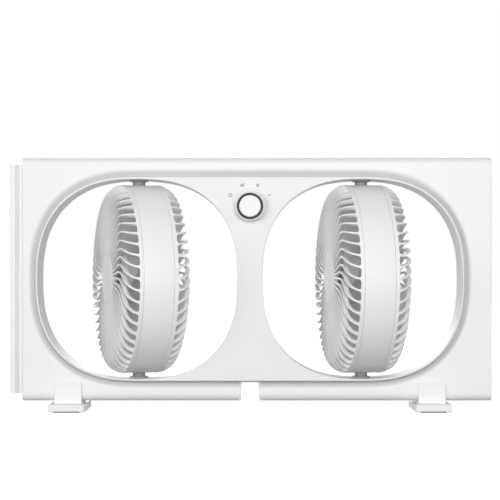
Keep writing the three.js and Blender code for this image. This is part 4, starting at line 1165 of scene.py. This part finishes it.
def impeller_object(name):
    points, faces = [], []
    for k in range(BLADES):
        blade(points, faces, 2 * math.pi * k / BLADES)
    radius, wall = IMPELLER_HUB_RADIUS, IMPELLER_WALL
    dome = [(radius - 5 + 5 * math.sin(a), HUB_FRONT + 5 - 5 * math.cos(a))
            for a in np.radians(np.linspace(0, 90, 10))]
    inside, floor, boss_end = radius - wall, HUB_FRONT + 2 * wall, HUB_REAR - 2 * wall
    profile = [(SHAFT_HOLE, HUB_FRONT), *dome, (radius, HUB_REAR), (inside, HUB_REAR)]
    profile += [(inside, floor + 2), (inside - 3, floor), (BOSS_RADIUS, floor)]
    profile += [(BOSS_RADIUS, boss_end), (SHAFT_HOLE, boss_end)]
    hub = turned("hub", profile)
    blades = make_object(name, points, faces)
    return combine(blades, [hub], "UNION")


# ---- motor


MOTOR_RADIUS = 28
MOTOR_WALL = 1.6
MOUNT_REAR = FACE_HALF_DEPTH - RIB_DEPTH - GAP
MOUNT_THICKNESS = 2.4
MOTOR_LENGTH = 35
CORE_HALF = 8  # half the length of the stator and the rotor
SHAFT_FRONT = -32.5
MOTOR_REAR = MOUNT_REAR - MOUNT_THICKNESS - GAP
MOTOR_FRONT = MOTOR_REAR - MOTOR_LENGTH
MOTOR_MIDDLE = (MOTOR_FRONT + MOTOR_REAR) / 2


def motor_shell(name, end, opening):
    inward = math.copysign(1, opening - end)
    floor = end + inward * MOTOR_WALL
    inside, hole = MOTOR_RADIUS - MOTOR_WALL, BOSS_RADIUS + GAP
    corners = [(hole, end), (MOTOR_RADIUS, end), (MOTOR_RADIUS, opening)]
    corners += [(inside, opening), (inside, floor), (hole, floor)]
    return profile_piece(name, corners, 1.4, 96)


def facing(end, obj):
    return mirrored_to_rear(obj) if end == "rear" else obj


def pod_matrix(side):
    x = -POD_X if side == "left" else POD_X
    turn = Matrix.Rotation(-math.radians(POD_TURN[side]), 4, "Z")
    return shift_mm(x, 0, POD_Z) @ turn


def build_pod(side):
    pod, fan = f"{side}_pod", f"{side}_impeller_body"
    here = pod_matrix(side)

    def fit(obj, slot, body, node, extra=None, **options):
        obj.data.transform(here @ extra if extra else here)
        finish_piece(obj, slot, body, f"{side}_{node}", **options)

    fit(barrel_object(f"{side}_band"), "pod_white", pod, "barrel", sharp=50)
    for end in ("front", "rear"):
        grille = facing(end, grille_object(f"{side}_grille_{end}"))
        fit(grille, "pod_white", pod, f"{end}_grille", sharp=60)
    for end in ("front", "rear"):
        fit(facing(end, hub_cap(f"{side}_cap_{end}")), "cap_grey", pod, f"{end}_hub_cap")
    for level, turn in LEVELS:
        fit(pin_object(f"{side}_pin_{level}"), "pivot_grey", pod, f"{level}_pivot_pin", turn)

    mount = ring_corners(BOSS_RADIUS, MOTOR_RADIUS, MOUNT_REAR - MOUNT_THICKNESS, MOUNT_REAR)
    fit(profile_piece(f"{side}_mount", mount), "zinc_steel", pod, "motor_mount")
    split = GAP / 2
    shell = motor_shell(f"{side}_can_rear", MOTOR_REAR, MOTOR_MIDDLE + split)
    fit(shell, "zinc_steel", pod, "motor_rear_shell")
    shell = motor_shell(f"{side}_can_front", MOTOR_FRONT, MOTOR_MIDDLE - split)
    fit(shell, "zinc_steel", pod, "motor_front_shell")
    stator = ring_corners(17.1, 26.1, MOTOR_MIDDLE - CORE_HALF, MOTOR_MIDDLE + CORE_HALF)
    fit(profile_piece(f"{side}_stator", stator, 2), "winding", pod, "motor_stator")
    for end, inward, y in (("front", 1, MOTOR_FRONT), ("rear", -1, MOTOR_REAR)):
        start = y - inward * 0.8
        bush = ring_corners(3.2, BOSS_RADIUS, start, start + inward * 7)
        fit(profile_piece(f"{side}_bush_{end}", bush), "bronze", pod, f"motor_{end}_bush")

    fit(impeller_object(f"{side}_fan"), "blade_white", fan, "impeller", sharp=50)
    shaft = ring_corners(0, 3, SHAFT_FRONT, MOTOR_REAR - 1.9)
    fit(profile_piece(f"{side}_shaft", shaft), "steel", fan, "motor_shaft")
    rotor = ring_corners(SHAFT_HOLE, 15.9, MOTOR_MIDDLE - CORE_HALF, MOTOR_MIDDLE + CORE_HALF)
    fit(profile_piece(f"{side}_rotor", rotor), "steel", fan, "motor_rotor")
    nut = ring_corners(SHAFT_HOLE, BOSS_RADIUS, HUB_FRONT - GAP - 5, HUB_FRONT - GAP)
    fit(profile_piece(f"{side}_nut", nut, 1.2), "blade_white", fan, "impeller_nut")


def build_bushes():
    for side, x in (("left", -POD_X), ("right", POD_X)):
        at = shift_mm(x, 0, POD_Z)
        for level, turn in LEVELS:
            obj = place(bush_object(f"{side}_{level}_collar"), at @ turn)
            finish_piece(obj, "pivot_grey", "frame", f"{side}_{level}_bush")


# ---- fittings


def build_screws():
    """Pan-head screws with a cross recess."""
    for screw in SCREWS:
        node = f"housing_screw_{screw}"
        low, high = box_mm(node)
        x, _, z = centre_mm(node)
        head = high[1]
        corners = [(0, low[1]), (1.5, low[1] + 1.5), (1.5, head - 3), (3.4, head - 3)]
        corners += [(3.4, head - 0.6), (2.6, head), (0, head)]
        obj = profile_piece(f"screw_{screw}", corners, 0.3, 48)
        arms = [
            block("arm", (-a, head - 1.3, -b), (a, head + 1, b))
            for a, b in ((1.9, 0.45), (0.45, 1.9))
        ]
        combine(obj, arms, "DIFFERENCE")
        place(obj, shift_mm(x, 0, z))
        finish_piece(obj, "zinc_steel", "frame", node)


def build_gland():
    low, high = box_mm("cord_gland")
    x, _, z = centre_mm("cord_gland")
    plate = -FRAME_FACE + GAP
    corners = [(3.1, high[1]), (7, high[1]), (7, plate), (4.6, plate), (4.6, low[1]), (3.1, low[1])]
    obj = profile_piece("gland", corners, 0.6)
    place(obj, shift_mm(x, 0, z))
    finish_piece(obj, "pivot_grey", "frame", "cord_gland")


def build_electrics():
    low, high = box_mm("rotary_switch")
    body = block("switch_body", low, high)
    hole = rod("hole", 3.3, low[1] - 1, (low[1] + high[1]) / 2, KNOB_X, KNOB_Z)
    combine(body, [hole], "DIFFERENCE")
    finish_piece(body, "switch_black", "frame", "rotary_switch", bevel=0.6)
    low, high = box_mm("terminal_block")
    body = block("terminal_strip", low, high)
    xs = [low[0] + (high[0] - low[0]) * (k + 0.5) / 4 for k in range(4)]
    z = (low[2] + high[2]) / 2
    combine(body, [rod("well", 2.4, low[1] - 1, low[1] + 6, x, z) for x in xs], "DIFFERENCE")
    finish_piece(body, "cap_grey", "frame", "terminal_block", bevel=0.5)


# ---- stage, light, camera


CAMERA_DISTANCE = 2.08
CAMERA_LENS = 117.4
CAMERA_SHIFT = 0.058
AMBIENT = 0.34
FLOOR_GLOW_NEAR = 0.78
FLOOR_GLOW_FAR = 1.0
FLOOR_FADE = (0.5, 2.0)  # metres from the middle
FLOOR_RADIUS = 9000
FLOOR_GREY = 158


def mix_for_rays(tree, for_light, for_view, output):
    """The first shader lights the scene. Camera, glossy and transmission rays see the second."""
    path = add_node(tree, "LightPath")
    seen = path.outputs["Is Camera Ray"]
    for kind in ("Is Glossy Ray", "Is Transmission Ray"):
        seen = maths(tree, "ADD", seen, path.outputs[kind], use_clamp=True)
    mix = add_node(tree, "MixShader", {}, {"Fac": seen, 1: for_light, 2: for_view})
    tree.links.new(mix.outputs[0], output)


def build_world():
    world = bpy.data.worlds.new("studio")
    bpy.context.scene.world = world
    world.use_nodes = True
    tree = world.node_tree
    plain = tree.nodes["Background"]
    white = add_node(tree, "Background")
    for node, strength in ((plain, AMBIENT), (white, 1)):
        node.inputs["Color"].default_value = (1, 1, 1, 1)
        node.inputs["Strength"].default_value = strength
    mix_for_rays(tree, plain.outputs[0], white.outputs[0], tree.nodes["World Output"].inputs[0])


def build_floor():
    """A pale floor that fades to white away from the object, and keeps its shadow."""
    rim = [(x, y, 0) for x, y in circle(FLOOR_RADIUS)]
    floor = make_object("floor", rim, [tuple(range(len(rim)))])
    material, shader = new_material("floor", FLOOR_GREY, 0.9)
    floor.data.materials.append(material)
    tree = material.node_tree
    distance = add_node(tree, "VectorMath", {"operation": "LENGTH"}, {0: object_place(tree)})
    values = {"From Min": FLOOR_FADE[0], "From Max": FLOOR_FADE[1]}
    values.update({"To Min": FLOOR_GLOW_NEAR, "To Max": FLOOR_GLOW_FAR})
    fade = add_node(tree, "MapRange", SMOOTH, {"Value": distance.outputs["Value"]}, values)
    glow = add_node(tree, "Emission", {}, {"Strength": fade.outputs["Result"]})
    both = add_node(tree, "AddShader", {}, {0: shader.outputs[0], 1: glow.outputs[0]})
    surface = tree.nodes["Material Output"].inputs["Surface"]
    mix_for_rays(tree, shader.outputs[0], both.outputs[0], surface)


LIGHTS = {  # place and size in metres, and power in watts
    "key": ((0.2, -2.5, 0.6), (1.0, 0.9), 27.5),
    "left_fill": ((-1.9, -2.3, 0.45), (1.3, 1.3), 25),
    "right_fill": ((2.4, -1.4, 0.45), (1.2, 1.0), 6),
    "back_fill": ((-0.6, 2.7, 1.0), (1.6, 1.2), 32),
}
LIGHT_TARGET = (0, 0, 0.17)


def build_lights():
    for name, (place_m, size, watts) in LIGHTS.items():
        data = bpy.data.lights.new(name, "AREA")
        data.shape = "RECTANGLE"
        data.size, data.size_y = size
        data.energy = watts
        light = add_object(name, data)
        light.location = place_m
        direction = Vector(LIGHT_TARGET) - Vector(place_m)
        light.rotation_euler = direction.to_track_quat("-Z", "Y").to_euler()


def build_camera():
    data = bpy.data.cameras.new("camera")
    data.lens = CAMERA_LENS
    data.sensor_width = 36
    data.sensor_fit = "HORIZONTAL"
    data.shift_y = CAMERA_SHIFT
    data.clip_end = 50
    camera = add_object("camera", data)
    camera.location = (0, -CAMERA_DISTANCE, POD_Z * MM)
    camera.rotation_euler = (math.pi / 2, 0, 0)
    bpy.context.scene.camera = camera


# ---- the scene

build_camera()
build_frame()
build_fascias()
build_marks()
build_knob()
build_slide()
for side in ("left", "right"):
    build_foot(side)
    build_pod(side)
build_bushes()
build_screws()
build_gland()
build_electrics()
build_world()
build_floor()
build_lights()
bpy.context.scene.view_settings.view_transform = "Standard"
